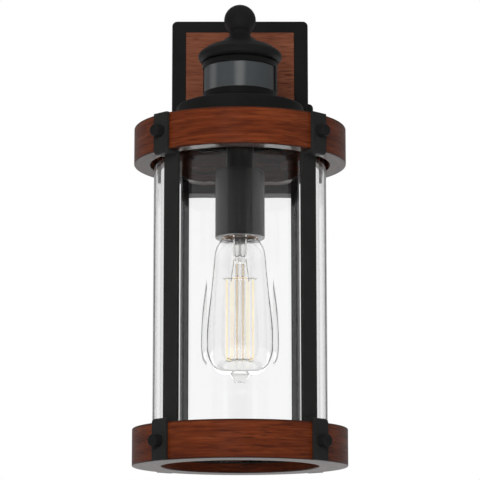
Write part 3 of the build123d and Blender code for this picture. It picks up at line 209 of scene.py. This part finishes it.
# Profiles as pairs of a radius and a rise
LIP_PROFILE = [
    (0.01345, 0), (0.0149, 0), (0.01505, 0.0001), (0.01505, 0.0004), (0.0149, 0.0005), (0.01345, 0.0005),
]
LID_PROFILE = [
    (0.01265, -0.0007), (0.0126, -0.0002), (0.0121, 0), (0.0047, 0), (0.0047, -0.0004),
    (0.0118, -0.0004), (0.0121, -0.0007),
]
HOOK_PROFILE = [
    (0.0018, 0), (0.0060, 0.0002), (0.0092, 0.0006), (0.0102, 0.0008), (0.0112, 0.0002),
    (0.0124, -0.0006), (0.0142, 0.0004),
]
BEAD_PROFILE = [
    (0.00115, BEAD_HALF_HEIGHT), (0.0016, BEAD_HALF_HEIGHT), (0.0021, 0.0005), (0.0023, 0),
    (0.0021, -0.0005), (0.0016, -BEAD_HALF_HEIGHT), (0.00115, -BEAD_HALF_HEIGHT),
]
STEM_PROFILE = [
    (0.0114, 0), (0.0113, -0.0006), (0.0092, -0.0020), (0.0060, -0.0040), (0.0041, -0.0062),
    (0.0035, -0.0090), (0.0035, -0.0240), (0.0031, -0.0254), (0.0027, -0.0268), (0.0027, -0.0292),
    (0.0022, -0.0304), (0.0011, -0.0310), (NEAR_AXIS, -0.0310), (NEAR_AXIS, -0.0252), (0.0022, -0.0246),
    (0.0030, -0.0232), (0.0031, -0.0092), (0.0037, -0.0062), (0.0056, -0.0038), (0.0088, -0.0017),
    (0.0110, -0.0003), (0.0110, 0),
]

# Marks round the dials
DIAL_FROM_MIDDLE = 0.009
MARK_COUNT = 7
MARK_FIRST = -135
MARK_STEP = 45
MARK_RADIUS = 0.0061
MARK_LENGTH = 0.0009
MARK_WIDTH = 0.00035
MARK_HEIGHT = 0.00015


# Node helpers

def add(tree, kind, inputs=None, **properties):
    """New node with its properties set and its inputs filled by values or by other nodes' outputs."""
    made = tree.nodes.new(kind)
    for name, value in properties.items():
        setattr(made, name, value)
    for name, value in (inputs or {}).items():
        if isinstance(value, bpy.types.NodeSocket):
            tree.links.new(value, made.inputs[name])
        else:
            made.inputs[name].default_value = value
    return made


def ramp(tree, factor, stops):
    """Colour ramp over stops of (place, colour)."""
    made = add(tree, "ShaderNodeValToRGB", {"Fac": factor})
    elements = made.color_ramp.elements
    elements.remove(elements[1])
    elements[0].position = stops[0][0]
    elements[0].color = (*stops[0][1], 1)
    for place, colour in stops[1:]:
        elements.new(place).color = (*colour, 1)
    return made.outputs["Color"]


def two_tone(tree, value, dark, light, reach=WIDE):
    """Colour that goes from dark to light over a range of values."""
    return ramp(tree, value, list(zip(reach, (dark, light))))


def spread(tree, value, low, high, to_low, to_high):
    """Map a value's range onto another, clamped."""
    inputs = {"Value": value, "From Min": low, "From Max": high, "To Min": to_low, "To Max": to_high}
    return add(tree, "ShaderNodeMapRange", inputs).outputs["Result"]


def calc(tree, operation, first, second=0.0):
    """Result of a math node."""
    return add(tree, "ShaderNodeMath", {0: first, 1: second}, operation=operation).outputs["Value"]


def noise(tree, vector, scale, detail=3.0, roughness=0.5, distortion=0.0):
    """Value of a noise texture, from 0 to 1."""
    inputs = {
        "Vector": vector, "Scale": scale, "Detail": detail, "Roughness": roughness, "Distortion": distortion,
    }
    return add(tree, "ShaderNodeTexNoise", inputs).outputs["Fac"]


def stretched(tree, vector, scale):
    """Coordinates stretched by a scale on each axis."""
    return add(tree, "ShaderNodeMapping", {"Vector": vector, "Scale": scale}).outputs["Vector"]


def blended(tree, factor, first, second, kind="MIX"):
    """Two colours mixed, or combined in another way."""
    inputs = {"Factor": factor, MIX_FIRST: first, MIX_SECOND: second}
    return add(tree, "ShaderNodeMix", inputs, data_type="RGBA", blend_type=kind).outputs[MIX_RESULT]


def object_place(tree):
    """The surface point in the object's own metres."""
    return add(tree, "ShaderNodeTexCoord").outputs["Object"]


def bump(tree, height, distance, strength=1.0):
    """Normal with a height in metres on it."""
    inputs = {"Height": height, "Distance": distance, "Strength": strength}
    return add(tree, "ShaderNodeBump", inputs).outputs["Normal"]


def seen_straight(tree, ray, bounces):
    """1 for the camera's own rays and those through clear glass, as long as no bounce came before."""
    seen = calc(tree, "MAXIMUM", ray["Is Camera Ray"], ray["Is Transmission Ray"])
    return calc(tree, "MULTIPLY", seen, calc(tree, "LESS_THAN", bounces, FIRST_BOUNCE))


def new_material(name, inputs):
    """Material with one Principled shader; returns the material, its tree and the shader."""
    made = bpy.data.materials.new(name)
    made.use_nodes = True
    tree = made.node_tree
    tree.nodes.clear()
    shader = add(tree, "ShaderNodeBsdfPrincipled", inputs)
    add(tree, "ShaderNodeOutputMaterial", {"Surface": shader.outputs["BSDF"]})
    return made, tree, shader


def join(tree, shader, **sources):
    """Link outputs to the shader's inputs; an input's spaces are written as underscores."""
    for name, source in sources.items():
        tree.links.new(source, shader.inputs[name.replace("_", " ")])


# Materials

def grey(level):
    """Nearly neutral grey, a trace warm."""
    return (level, level, GREY_WARMTH * level)


def coat(name, dark, light, roughness, grain_scale, grain_height, specular):
    """Matte coating or moulded plastic: faint mottling, fine grain and uneven gloss."""
    made, tree, shader = new_material(name, {"Specular IOR Level": specular})
    place = object_place(tree)
    mottle = noise(tree, place, MOTTLE_SCALE, detail=4)
    grain = noise(tree, place, grain_scale, detail=2)
    join(
        tree, shader,
        Base_Color=two_tone(tree, mottle, dark, light, NARROW),
        Roughness=spread(tree, mottle, *WIDE, *roughness),
        Normal=bump(tree, grain, grain_height),
    )
    return made


def metal(name, dark, light, roughness):
    """Bare or plated metal with a soft mottled tarnish."""
    made, tree, shader = new_material(name, {"Metallic": 1.0})
    place = object_place(tree)
    tarnish = noise(tree, stretched(tree, place, TARNISH_SCALE), 1, detail=4)
    join(
        tree, shader,
        Base_Color=two_tone(tree, tarnish, dark, light),
        Roughness=spread(tree, tarnish, *WIDE, *roughness),
    )
    return made


def round_the_axis(tree, place):
    """Arc length round the lantern's axis, radius and height as a vector, and the turn from the front."""
    from_middle = add(tree, "ShaderNodeVectorMath", {0: place, 1: (0, AXIS_Y, 0)}, operation="SUBTRACT")
    parts = add(tree, "ShaderNodeSeparateXYZ", {0: from_middle.outputs["Vector"]}).outputs
    turn = calc(tree, "ARCTAN2", parts["X"], calc(tree, "MULTIPLY", parts["Y"], -1.0))
    flat = add(tree, "ShaderNodeCombineXYZ", {"X": parts["X"], "Y": parts["Y"], "Z": 0.0})
    length = add(tree, "ShaderNodeVectorMath", {0: flat.outputs["Vector"]}, operation="LENGTH")
    arc = calc(tree, "MULTIPLY", turn, RING_RADIUS)
    inputs = {"X": arc, "Y": length.outputs["Value"], "Z": parts["Z"]}
    return add(tree, "ShaderNodeCombineXYZ", inputs).outputs["Vector"], turn


def near_edge(tree, place):
    """How near a point lies to the flat ends of the wooden rings: 1 on them, 0 a little away."""
    height = add(tree, "ShaderNodeSeparateXYZ", {0: place}).outputs["Z"]
    nearest = 1.0
    for end in RING_ENDS:
        away = calc(tree, "ABSOLUTE", calc(tree, "SUBTRACT", height, end))
        nearest = calc(tree, "MINIMUM", away, nearest)
    return spread(tree, nearest, EDGE_NEAR, EDGE_FAR, 1.0, 0.0)


def wood(name, turned, dark, middle, light):
    """Lacquered walnut. The grain runs along X on a board, and round the lantern's axis on a turned ring,
    whose flat ends are darkened: partly a dark edge finish, partly painted shade.
    """
    made, tree, shader = new_material(name, LACQUER)
    place = object_place(tree)
    if turned:
        edge = near_edge(tree, place)
        place, _ = round_the_axis(tree, place)
    figure = noise(tree, stretched(tree, place, FIGURE_SCALE), 1, detail=3, distortion=0.4)
    streaks = noise(tree, stretched(tree, place, STREAK_SCALE), 1, detail=4, roughness=0.65)
    pores = noise(tree, stretched(tree, place, PORE_SCALE), 1, detail=1)
    cloud = noise(tree, place, CLOUD_SCALE, detail=2)
    figure_part = calc(tree, "MULTIPLY", figure, FIGURE_SHARE)
    streak_part = calc(tree, "MULTIPLY", streaks, STREAK_SHARE)
    tone = calc(tree, "ADD", figure_part, streak_part)
    colour = ramp(tree, tone, list(zip(WOOD_STOPS, (dark, middle, light))))
    pore = spread(tree, pores, *PORE_RANGE, 0.0, PORE_STRENGTH)
    pore_in_patches = calc(tree, "MULTIPLY", pore, spread(tree, cloud, *NARROW, *PORE_PATCHES))
    pore_colour = two_tone(tree, cloud, PORE_DARK, PORE_LIGHT)
    wood_colour = blended(tree, pore_in_patches, colour, pore_colour)
    # On a ring, the flat ends darken towards the pore colour: partly a dark edge finish, partly painted shade
    if turned:
        wood_colour = blended(tree, calc(tree, "MULTIPLY", edge, EDGE_STAIN_AND_SHADE), wood_colour, pore_colour)
    join(
        tree, shader,
        Base_Color=wood_colour,
        Roughness=spread(tree, tone, *WIDE, *WOOD_ROUGHNESS),
        Normal=bump(tree, calc(tree, "MULTIPLY", pore_in_patches, -1.0), PORE_DEPTH, strength=0.4),
    )
    return made


def clear(name, low, high):
    """Clear glass with a faint tint that drifts."""
    made, tree, shader = new_material(name, {"Transmission Weight": 1.0, "IOR": 1.5, "Roughness": 0.0})
    drift = noise(tree, object_place(tree), GLASS_DRIFT_SCALE, detail=1)
    join(tree, shader, Base_Color=two_tone(tree, drift, low, high, NARROW))
    return made


def lens_plastic():
    """Translucent grey sensor lens with upright rows of moulded cells, and painted highlights as two paler
    upright bands.
    """
    inputs = {"Transmission Weight": 0.45, "IOR": 1.49, "Specular IOR Level": 0.5, "Roughness": 0.3}
    made, tree, shader = new_material("lens_plastic", inputs)
    place, turn = round_the_axis(tree, object_place(tree))
    row = spread(tree, turn, -LENS_REACH, LENS_REACH, 0.0, 1.0)
    cloud = noise(tree, place, LENS_CLOUD_SCALE, detail=2)
    stops = []
    for middle, half in LENS_HIGHLIGHT_BANDS:
        edge = half + LENS_HIGHLIGHT_FADE
        stops += [(middle - edge, LENS_DULL), (middle - half, LENS_HIGHLIGHT_GREY)]
        stops += [(middle + half, LENS_HIGHLIGHT_GREY), (middle + edge, LENS_DULL)]
    # Painted highlights: paler upright bands at fixed places across the lens
    rows = ramp(tree, row, stops)
    haze = two_tone(tree, cloud, LENS_HAZE, (1, 1, 1))
    join(tree, shader, Base_Color=blended(tree, 1.0, rows, haze, kind="MULTIPLY"))
    return made


def speckled(name, dark, light, roughness, scale):
    """Plain glazed, moulded or soft surface with a faint speckle."""
    made, tree, shader = new_material(name, {"Roughness": roughness})
    speckle = noise(tree, object_place(tree), scale, detail=3)
    join(
        tree, shader,
        Base_Color=two_tone(tree, speckle, dark, light, NARROW),
        Normal=bump(tree, speckle, SPECKLE_HEIGHT),
    )
    return made


def glow_wire():
    """Carbon filament with a faint warm glow, peach in places and yellow in others."""
    made, tree, shader = new_material("filament_wire", {"Roughness": 0.5, "Emission Strength": 1.0})
    drift = noise(tree, object_place(tree), FILAMENT_DRIFT_SCALE, detail=1)
    colour = two_tone(tree, drift, FILAMENT_PEACH, FILAMENT_YELLOW, FILAMENT_DRIFT_RANGE)
    join(tree, shader, Base_Color=colour, Emission_Color=colour)
    return made


board_wood = wood("walnut_board", False, (0.11, 0.031, 0.014), (0.17, 0.052, 0.026), (0.23, 0.077, 0.04))
ring_wood = wood("walnut_ring", True, (0.066, 0.011, 0.0032), (0.124, 0.0235, 0.0058), (0.19, 0.042, 0.012))
cup_enamel = coat(
    "cup_enamel", grey(0.016), grey(0.019), (0.32, 0.4),
    grain_scale=900, grain_height=0.000003, specular=0.5,
)
strap_coat = coat(
    "strap_coat", grey(0.0185), grey(0.022), (0.46, 0.54),
    grain_scale=900, grain_height=0.000004, specular=0.12,
)
materials = {
    "black_coat": coat(
        "powder_coat", grey(0.0095), grey(0.0122), (0.46, 0.54),
        grain_scale=900, grain_height=0.000004, specular=0.12,
    ),
    "walnut": board_wood,
    "clear_glass": clear("clear_glass", (0.985, 0.988, 0.987), (0.992, 0.994, 0.993)),
    "bulb_glass": clear("bulb_glass", (0.985, 0.985, 0.98), (0.992, 0.992, 0.99)),
    "sensor_lens": lens_plastic(),
    "black_plastic": coat(
        "black_plastic", grey(0.0052), grey(0.0074), (0.4, 0.48),
        grain_scale=1500, grain_height=0.000004, specular=0.2,
    ),
    "steel": metal("zinc_steel", (0.4, 0.4, 0.39), (0.62, 0.62, 0.6), (0.28, 0.42)),
    "ground_green": coat(
        "green_zinc", (0.02, 0.14, 0.04), (0.03, 0.2, 0.06), (0.3, 0.42),
        grain_scale=1500, grain_height=0.00002, specular=0.5,
    ),
    "brass": metal("copper_plate", (0.5, 0.28, 0.17), (0.7, 0.44, 0.3), (0.24, 0.36)),
    "base_metal": metal("copper_brass", (0.46, 0.25, 0.15), (0.66, 0.4, 0.26), (0.26, 0.4)),
    "solder": metal("solder", (0.4, 0.4, 0.4), (0.6, 0.6, 0.6), (0.35, 0.5)),
    "black_glass": speckled("fused_glass", (0.008, 0.008, 0.009), (0.014, 0.014, 0.015), 0.12, 260),
    "porcelain": speckled("porcelain", (0.7, 0.68, 0.63), (0.8, 0.78, 0.74), 0.2, 120),
    "rubber": speckled("rubber", (0.012, 0.012, 0.012), (0.022, 0.022, 0.022), 0.75, 900),
    "foam": speckled("foam", (0.012, 0.012, 0.013), (0.03, 0.03, 0.03), 0.9, 1600),
    "filament": glow_wire(),
    "wire_nickel": metal("nickel_wire", (0.22, 0.2, 0.18), (0.4, 0.37, 0.33), (0.3, 0.45)),
    "lead_insulation": speckled("lead_sleeve", (0.6, 0.58, 0.5), (0.74, 0.72, 0.64), 0.45, 700),
    "circuit_board": speckled("circuit_board", (0.012, 0.09, 0.03), (0.02, 0.13, 0.05), 0.35, 320),
    "relay_case": speckled("relay_case", (0.01, 0.03, 0.13), (0.016, 0.045, 0.18), 0.3, 300),
    "capacitor_sleeve": speckled("capacitor_sleeve", (0.01, 0.01, 0.025), (0.02, 0.02, 0.04), 0.3, 400),
    "detector_can": metal("detector_can", (0.4, 0.4, 0.38), (0.6, 0.6, 0.57), (0.22, 0.34)),
    "sensor_cell": speckled("sensor_cell", (0.3, 0.12, 0.05), (0.5, 0.2, 0.08), 0.25, 1400),
}


def dress(node, material):
    """Give a CAD node's slots a material."""
    for holder in nodes[node].material_slots:
        holder.material = material


for part in frame["record"]["subparts"]:
    dress(part["node"], materials[part["material_slot"]])
for node in ("upper_ring", "lower_ring"):
    dress(node, ring_wood)
for node in STRAPS:
    dress(node, strap_coat)
for node in ("socket_neck", "socket_cup", "socket_ring"):
    dress(node, cup_enamel)


# Mesh helpers

def from_axis(radius, turn, height):
    """Point at a radius from the lantern's axis, a turn from the front to the right and a height."""
    return Vector((radius * sin(turn), AXIS_Y - radius * cos(turn), height))


def raised(profile, height):
    """Outline of (radius, height) from a profile of (radius, rise)."""
    return [(radius, height + rise) for radius, rise in profile]


def finished(name, points, faces, body, slot, *replaced, sharp=35):
    """Mesh piece with smooth faces and sharp edges, riding on a body in place of solids."""
    mesh = bpy.data.meshes.new(name)
    mesh.from_pydata([tuple(point) for point in points], [], faces)
    mesh.validate()
    mesh.shade_smooth()
    mesh.set_sharp_from_angle(angle=radians(sharp))
    return settled(bpy.data.objects.new(name, mesh), body, slot, *replaced)


def settled(piece, body, slot, *replaced):
    """Put a piece into the scene, on its body, with its slot's material, in place of solids."""
    bpy.context.scene.collection.objects.link(piece)
    piece.data.materials.append(materials[slot])
    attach(piece, body)
    if replaced:
        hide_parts(*replaced)
    return piece


def skin(rows, columns):
    """Faces of a grid that closes on itself both ways."""
    faces = []
    for row in range(rows):
        for column in range(columns):
            after = (column + 1) % columns
            below = (row + 1) % rows
            corners = ((row, column), (row, after), (below, after), (below, column))
            faces.append(tuple(place * columns + step for place, step in corners))
    return faces


def lathe(name, outline, body, slot, *replaced, steps=96, sharp=35):
    """Ring-shaped piece turned from a closed outline of (radius, height)."""
    points = []
    for radius, height in outline:
        for step in range(steps):
            points.append(from_axis(radius, 2 * pi * step / steps, height))
    return finished(name, points, skin(len(outline), steps), body, slot, *replaced, sharp=sharp)


def wires(name, paths, thickness, body, slot, *replaced):
    """Round wires along smooth lines that their control points draw."""
    line = bpy.data.curves.new(name, "CURVE")
    line.dimensions = "3D"
    line.bevel_depth = thickness / 2
    line.bevel_resolution = 3
    line.resolution_u = 6
    line.use_fill_caps = True
    for path in paths:
        spline = line.splines.new("NURBS")
        spline.points.add(len(path) - 1)
        for point, place in zip(spline.points, path):
            point.co = (*place, 1)
        spline.order_u = 3
        spline.use_endpoint_u = True
    return settled(bpy.data.objects.new(name, line), body, slot, *replaced)


# Rolled threads

def fade(height, low, high, runout):
    """Share of the thread's depth at a height: none at the ends, whole between the run-outs."""
    reach = min(height - low, high - height) / runout
    reach = max(0.0, min(1.0, reach))
    return reach * reach * (3 - 2 * reach)


def thread(name, crest, depth, wall, low, high, body, slot, *replaced):
    """Sheet metal tube with a rolled right-hand thread; wall is negative where the sheet lies outside."""
    rows = int((high - low) / THREAD_PITCH * THREAD_ROWS_PER_TURN)
    sign = 1 if wall > 0 else -1
    points = []
    for side in (0, 1):
        for row in range(rows + 1):
            share = row / rows if side == 0 else 1 - row / rows
            height = low + share * (high - low)
            wave = depth / 2 * fade(height, low, high, THREAD_PITCH / 2)
            for step in range(THREAD_STEPS):
                turn = 2 * pi * step / THREAD_STEPS
                phase = 2 * pi * (height - low) / THREAD_PITCH - turn
                radius = crest - sign * (depth / 2 - wave * cos(phase)) - side * wall
                points.append(from_axis(radius, turn, height))
    return finished(name, points, skin(2 * rows + 2, THREAD_STEPS), body, slot, *replaced, sharp=60)


thread(
    "bulb_base_thread", BASE_RADIUS, BASE_THREAD_DEPTH, BASE_SHEET,
    base_low.z, base_high.z - BASE_LID_HEIGHT, "bulb", "base_metal", "bulb_base",
)
thread(
    "socket_shell_thread", SHELL_RADIUS, SHELL_THREAD_DEPTH, -SHELL_SHEET,
    shell_low.z, shell_high.z, "fixture", "brass", "socket_shell",
)
lathe("socket_shell_lip", raised(LIP_PROFILE, shell_low.z), "fixture", "brass", "socket_shell")
lathe("bulb_base_lid", raised(LID_PROFILE, base_high.z), "bulb", "base_metal", "bulb_base")


# Inside of the bulb

def strand_turns():
    """Turns of the filament's upright strands, from one side of its opening round to the other."""
    step = (2 * pi - FILAMENT_OPENING) / (FILAMENT_STRANDS - 1)
    return [pi + FILAMENT_OPENING / 2 + index * step for index in range(FILAMENT_STRANDS)]


filament_foot = filament_low.z + FILAMENT_THICKNESS / 2
filament_top = filament_high.z - FILAMENT_THICKNESS / 2


def filament_path():
    """Control points of the filament: upright strands with round bends at the foot and at the top."""
    points = []
    for index, turn in enumerate(strand_turns()):
        heights = [filament_top, filament_top - FILAMENT_BEND, filament_foot + FILAMENT_BEND, filament_foot]
        if index % 2:
            heights.reverse()
        points += [from_axis(FILAMENT_RADIUS, turn, height) for height in heights]
    return points


def hook_paths(first, height, side):
    """Wires from a bead on the stem out to the filament's bends, each with a curl round the bend."""
    turns = strand_turns()
    paths = []
    for index in range(first, FILAMENT_STRANDS - 1, 2):
        turn = (turns[index] + turns[index + 1]) / 2
        paths.append([from_axis(radius, turn, height + side * rise) for radius, rise in HOOK_PROFILE])
    return paths


wires("filament_wire", [filament_path()], FILAMENT_THICKNESS, "bulb", "filament", "filament")
support_low, support_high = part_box("filament_supports")
upper_hooks = support_high.z - BEAD_HALF_HEIGHT
lower_hooks = support_low.z + BEAD_HALF_HEIGHT
all_hooks = hook_paths(1, upper_hooks, 1) + hook_paths(0, lower_hooks, -1)
wires("filament_hooks", all_hooks, HOOK_THICKNESS, "bulb", "wire_nickel", "filament_supports")

# Glass beads round the stem's rod, which hold the hooks
for name, height in (("upper_bead", upper_hooks), ("lower_bead", lower_hooks)):
    lathe(name, raised(BEAD_PROFILE, height), "bulb", "bulb_glass", "filament_supports", steps=32)


def lead_paths():
    """Wires that leave the stem's press and reach the filament's two ends."""
    lead_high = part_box("lead_wires")[1]
    turns = strand_turns()
    paths = []
    for side, turn in ((1, turns[-1]), (-1, turns[0])):
        start = Vector((side * LEAD_START, AXIS_Y, lead_high.z))
        knee = Vector((side * LEAD_KNEE, AXIS_Y, lead_high.z - LEAD_KNEE_DROP))
        end = from_axis(FILAMENT_RADIUS, turn, filament_top)
        over = end + Vector((0, 0, LEAD_LOOP))
        paths.append([start, knee, over, end])
    return paths


wires("lead_in_wires", lead_paths(), LEAD_THICKNESS, "bulb", "wire_nickel", "lead_wires")

stem_outline = raised(STEM_PROFILE, stem_high.z)
lathe("stem_glass", stem_outline, "bulb", "bulb_glass", "bulb_stem", steps=48, sharp=50)
rod_top = stem_high.z - ROD_DROP
rod_outline = [
    (NEAR_AXIS, rod_top), (ROD_RADIUS, rod_top), (ROD_RADIUS, stem_low.z + ROD_END_TAPER),
    (ROD_END_RADIUS, stem_low.z), (NEAR_AXIS, stem_low.z),
]
stem_rod = lathe("stem_rod", rod_outline, "bulb", "bulb_glass", "bulb_stem", steps=24, sharp=50)
stem_rod.material_slots[0].material = clear("amber_glass", (0.95, 0.78, 0.6), (0.97, 0.84, 0.68))


# Marks round the dials on the sensor's back

def dial_marks():
    """Raised ticks round both dials."""
    out = Vector((-sin(SENSOR_YAW), cos(SENSOR_YAW), 0))
    right = Vector((cos(SENSOR_YAW), sin(SENSOR_YAW), 0))
    up = Vector((0, 0, 1))
    dial_height = (dial_low.z + dial_high.z) / 2
    face = Vector((0, AXIS_Y, dial_height)) + SENSOR_BACK * out
    box_faces = [(3, 2, 1, 0), (4, 5, 6, 7), (0, 1, 5, 4), (1, 2, 6, 5), (2, 3, 7, 6), (3, 0, 4, 7)]
    points = []
    faces = []
    for side in (-1, 1):
        dial = face + side * DIAL_FROM_MIDDLE * right
        for mark in range(MARK_COUNT):
            turn = radians(MARK_FIRST + MARK_STEP * mark)
            along = right * sin(turn) + up * cos(turn)
            across = right * cos(turn) - up * sin(turn)
            middle = dial + MARK_RADIUS * along
            half_length = MARK_LENGTH / 2 * along
            half_width = MARK_WIDTH / 2 * across
            first = len(points)
            for lift in (0, MARK_HEIGHT):
                for far, wide in ((-1, -1), (-1, 1), (1, 1), (1, -1)):
                    points.append(middle + far * half_length + wide * half_width + lift * out)
            faces += [tuple(first + corner for corner in corners) for corners in box_faces]
    return finished("dial_marks", points, faces, "fixture", "porcelain")


dial_marks()


# Floor, light and camera

def make_floor():
    """Pale floor that takes shadows. Its glow is only for the camera, clear glass and gloss."""
    half = FLOOR_SIZE / 2
    height = cad_box[0].z - FLOOR_DROP
    mesh = bpy.data.meshes.new("floor")
    corners = [(-half, -half, height), (half, -half, height), (half, half, height), (-half, half, height)]
    mesh.from_pydata(corners, [], [(0, 1, 2, 3)])
    floor = bpy.data.objects.new("floor", mesh)
    bpy.context.scene.collection.objects.link(floor)
    inputs = {"Roughness": 0.9, "Specular IOR Level": 0.1, "Emission Color": (1, 1, 1, 1)}
    made, tree, shader = new_material("pale_floor", inputs)
    place = object_place(tree)
    cloud = noise(tree, place, FLOOR_CLOUD_SCALE, detail=2)
    depth = add(tree, "ShaderNodeSeparateXYZ", {0: place}).outputs["Y"]
    behind = spread(tree, depth, FLOOR_SHEEN_START, FLOOR_SHEEN_END, 0.0, FLOOR_SHEEN)
    ray = add(tree, "ShaderNodeLightPath").outputs
    pale = calc(tree, "MULTIPLY", seen_straight(tree, ray, ray["Diffuse Depth"]), FLOOR_GLOW)
    mirrored = calc(tree, "MULTIPLY", behind, ray["Is Glossy Ray"])
    join(
        tree, shader,
        Base_Color=two_tone(tree, cloud, FLOOR_DARK, FLOOR_LIGHT),
        Emission_Strength=calc(tree, "ADD", mirrored, pale),
    )
    mesh.materials.append(made)


def level_stops(*stops):
    """Stops of a colour ramp from places and grey levels."""
    return [(place, (level,) * 3) for place, level in stops]


def make_world():
    """White where seen straight or through clear glass, a studio for gloss, and little light of its own."""
    world = bpy.data.worlds.new("studio")
    bpy.context.scene.world = world
    world.use_nodes = True
    tree = world.node_tree
    tree.nodes.clear()
    ray = add(tree, "ShaderNodeLightPath").outputs
    bounces = calc(tree, "ADD", ray["Diffuse Depth"], ray["Glossy Depth"])
    straight = seen_straight(tree, ray, bounces)
    direction = add(tree, "ShaderNodeTexCoord").outputs["Generated"]
    parts = add(tree, "ShaderNodeSeparateXYZ", {0: direction}).outputs
    turn = calc(tree, "ARCTAN2", calc(tree, "ABSOLUTE", parts["X"]), calc(tree, "MULTIPLY", parts["Y"], -1.0))
    from_front = spread(tree, turn, 0.0, pi, 0.0, 1.0)
    outside_stops = level_stops(
        (FRONT_END, FRONT_LEVEL), (SIDE_START, SIDE_LEVEL), (SIDE_END, SIDE_LEVEL), (REAR_START, REAR_LEVEL),
    )
    glass_stops = level_stops((FRONT_END, GLASS_FRONT_LEVEL), (SIDE_START, GLASS_SIDE_LEVEL))
    outside = ramp(tree, from_front, outside_stops)
    behind_glass = ramp(tree, from_front, glass_stops)
    through_glass = calc(tree, "GREATER_THAN", ray["Transmission Depth"], FIRST_BOUNCE)
    gloss = spread(tree, through_glass, 0.0, 1.0, outside, behind_glass)
    shiny = calc(tree, "GREATER_THAN", ray["Glossy Depth"], FIRST_BOUNCE)
    lit = spread(tree, shiny, 0.0, 1.0, WORLD_ON_DIFFUSE, gloss)
    strength = spread(tree, straight, 0.0, 1.0, lit, 1.0)
    glow = add(tree, "ShaderNodeBackground", {"Color": (1, 1, 1, 1), "Strength": strength})
    add(tree, "ShaderNodeOutputWorld", {"Surface": glow.outputs["Background"]})


def make_lamp(name, place, target, size, power):
    """Soft square lamp, which neither the camera nor gloss nor glass shows."""
    lamp = bpy.data.lights.new(name, "AREA")
    lamp.shape = "SQUARE"
    lamp.size = size
    lamp.energy = power
    stand = bpy.data.objects.new(name, lamp)
    bpy.context.scene.collection.objects.link(stand)
    stand.location = place
    stand.rotation_euler = (Vector(target) - Vector(place)).to_track_quat("-Z", "Y").to_euler()
    stand.visible_camera = False
    stand.visible_glossy = False
    stand.visible_transmission = False


def make_camera():
    """Camera at the photograph's viewing angle."""
    camera = bpy.data.cameras.new("camera")
    camera.lens = CAMERA_LENS
    camera.sensor_width = CAMERA_SENSOR
    stand = bpy.data.objects.new("camera", camera)
    bpy.context.scene.collection.objects.link(stand)
    stand.location = CAMERA_PLACE
    stand.rotation_euler = (pi / 2 + CAMERA_PITCH, 0, 0)
    bpy.context.scene.camera = stand


make_floor()
make_world()
lantern_middle = (0, AXIS_Y, -0.15)
make_lamp("key_lamp", place=(-0.35, -2.6, 0.35), target=lantern_middle, size=1.2, power=51)
make_lamp("fill_lamp", place=(1.6, -1.6, 0.2), target=lantern_middle, size=1.2, power=1)
make_lamp("top_lamp", place=(0, -0.3, 1.6), target=(0, AXIS_Y, 0), size=1.0, power=8)
make_lamp("back_lamp", place=(0.7, 2.4, 0.5), target=lantern_middle, size=1.6, power=16)
make_camera()
bpy.context.scene.view_settings.view_transform = "Standard"
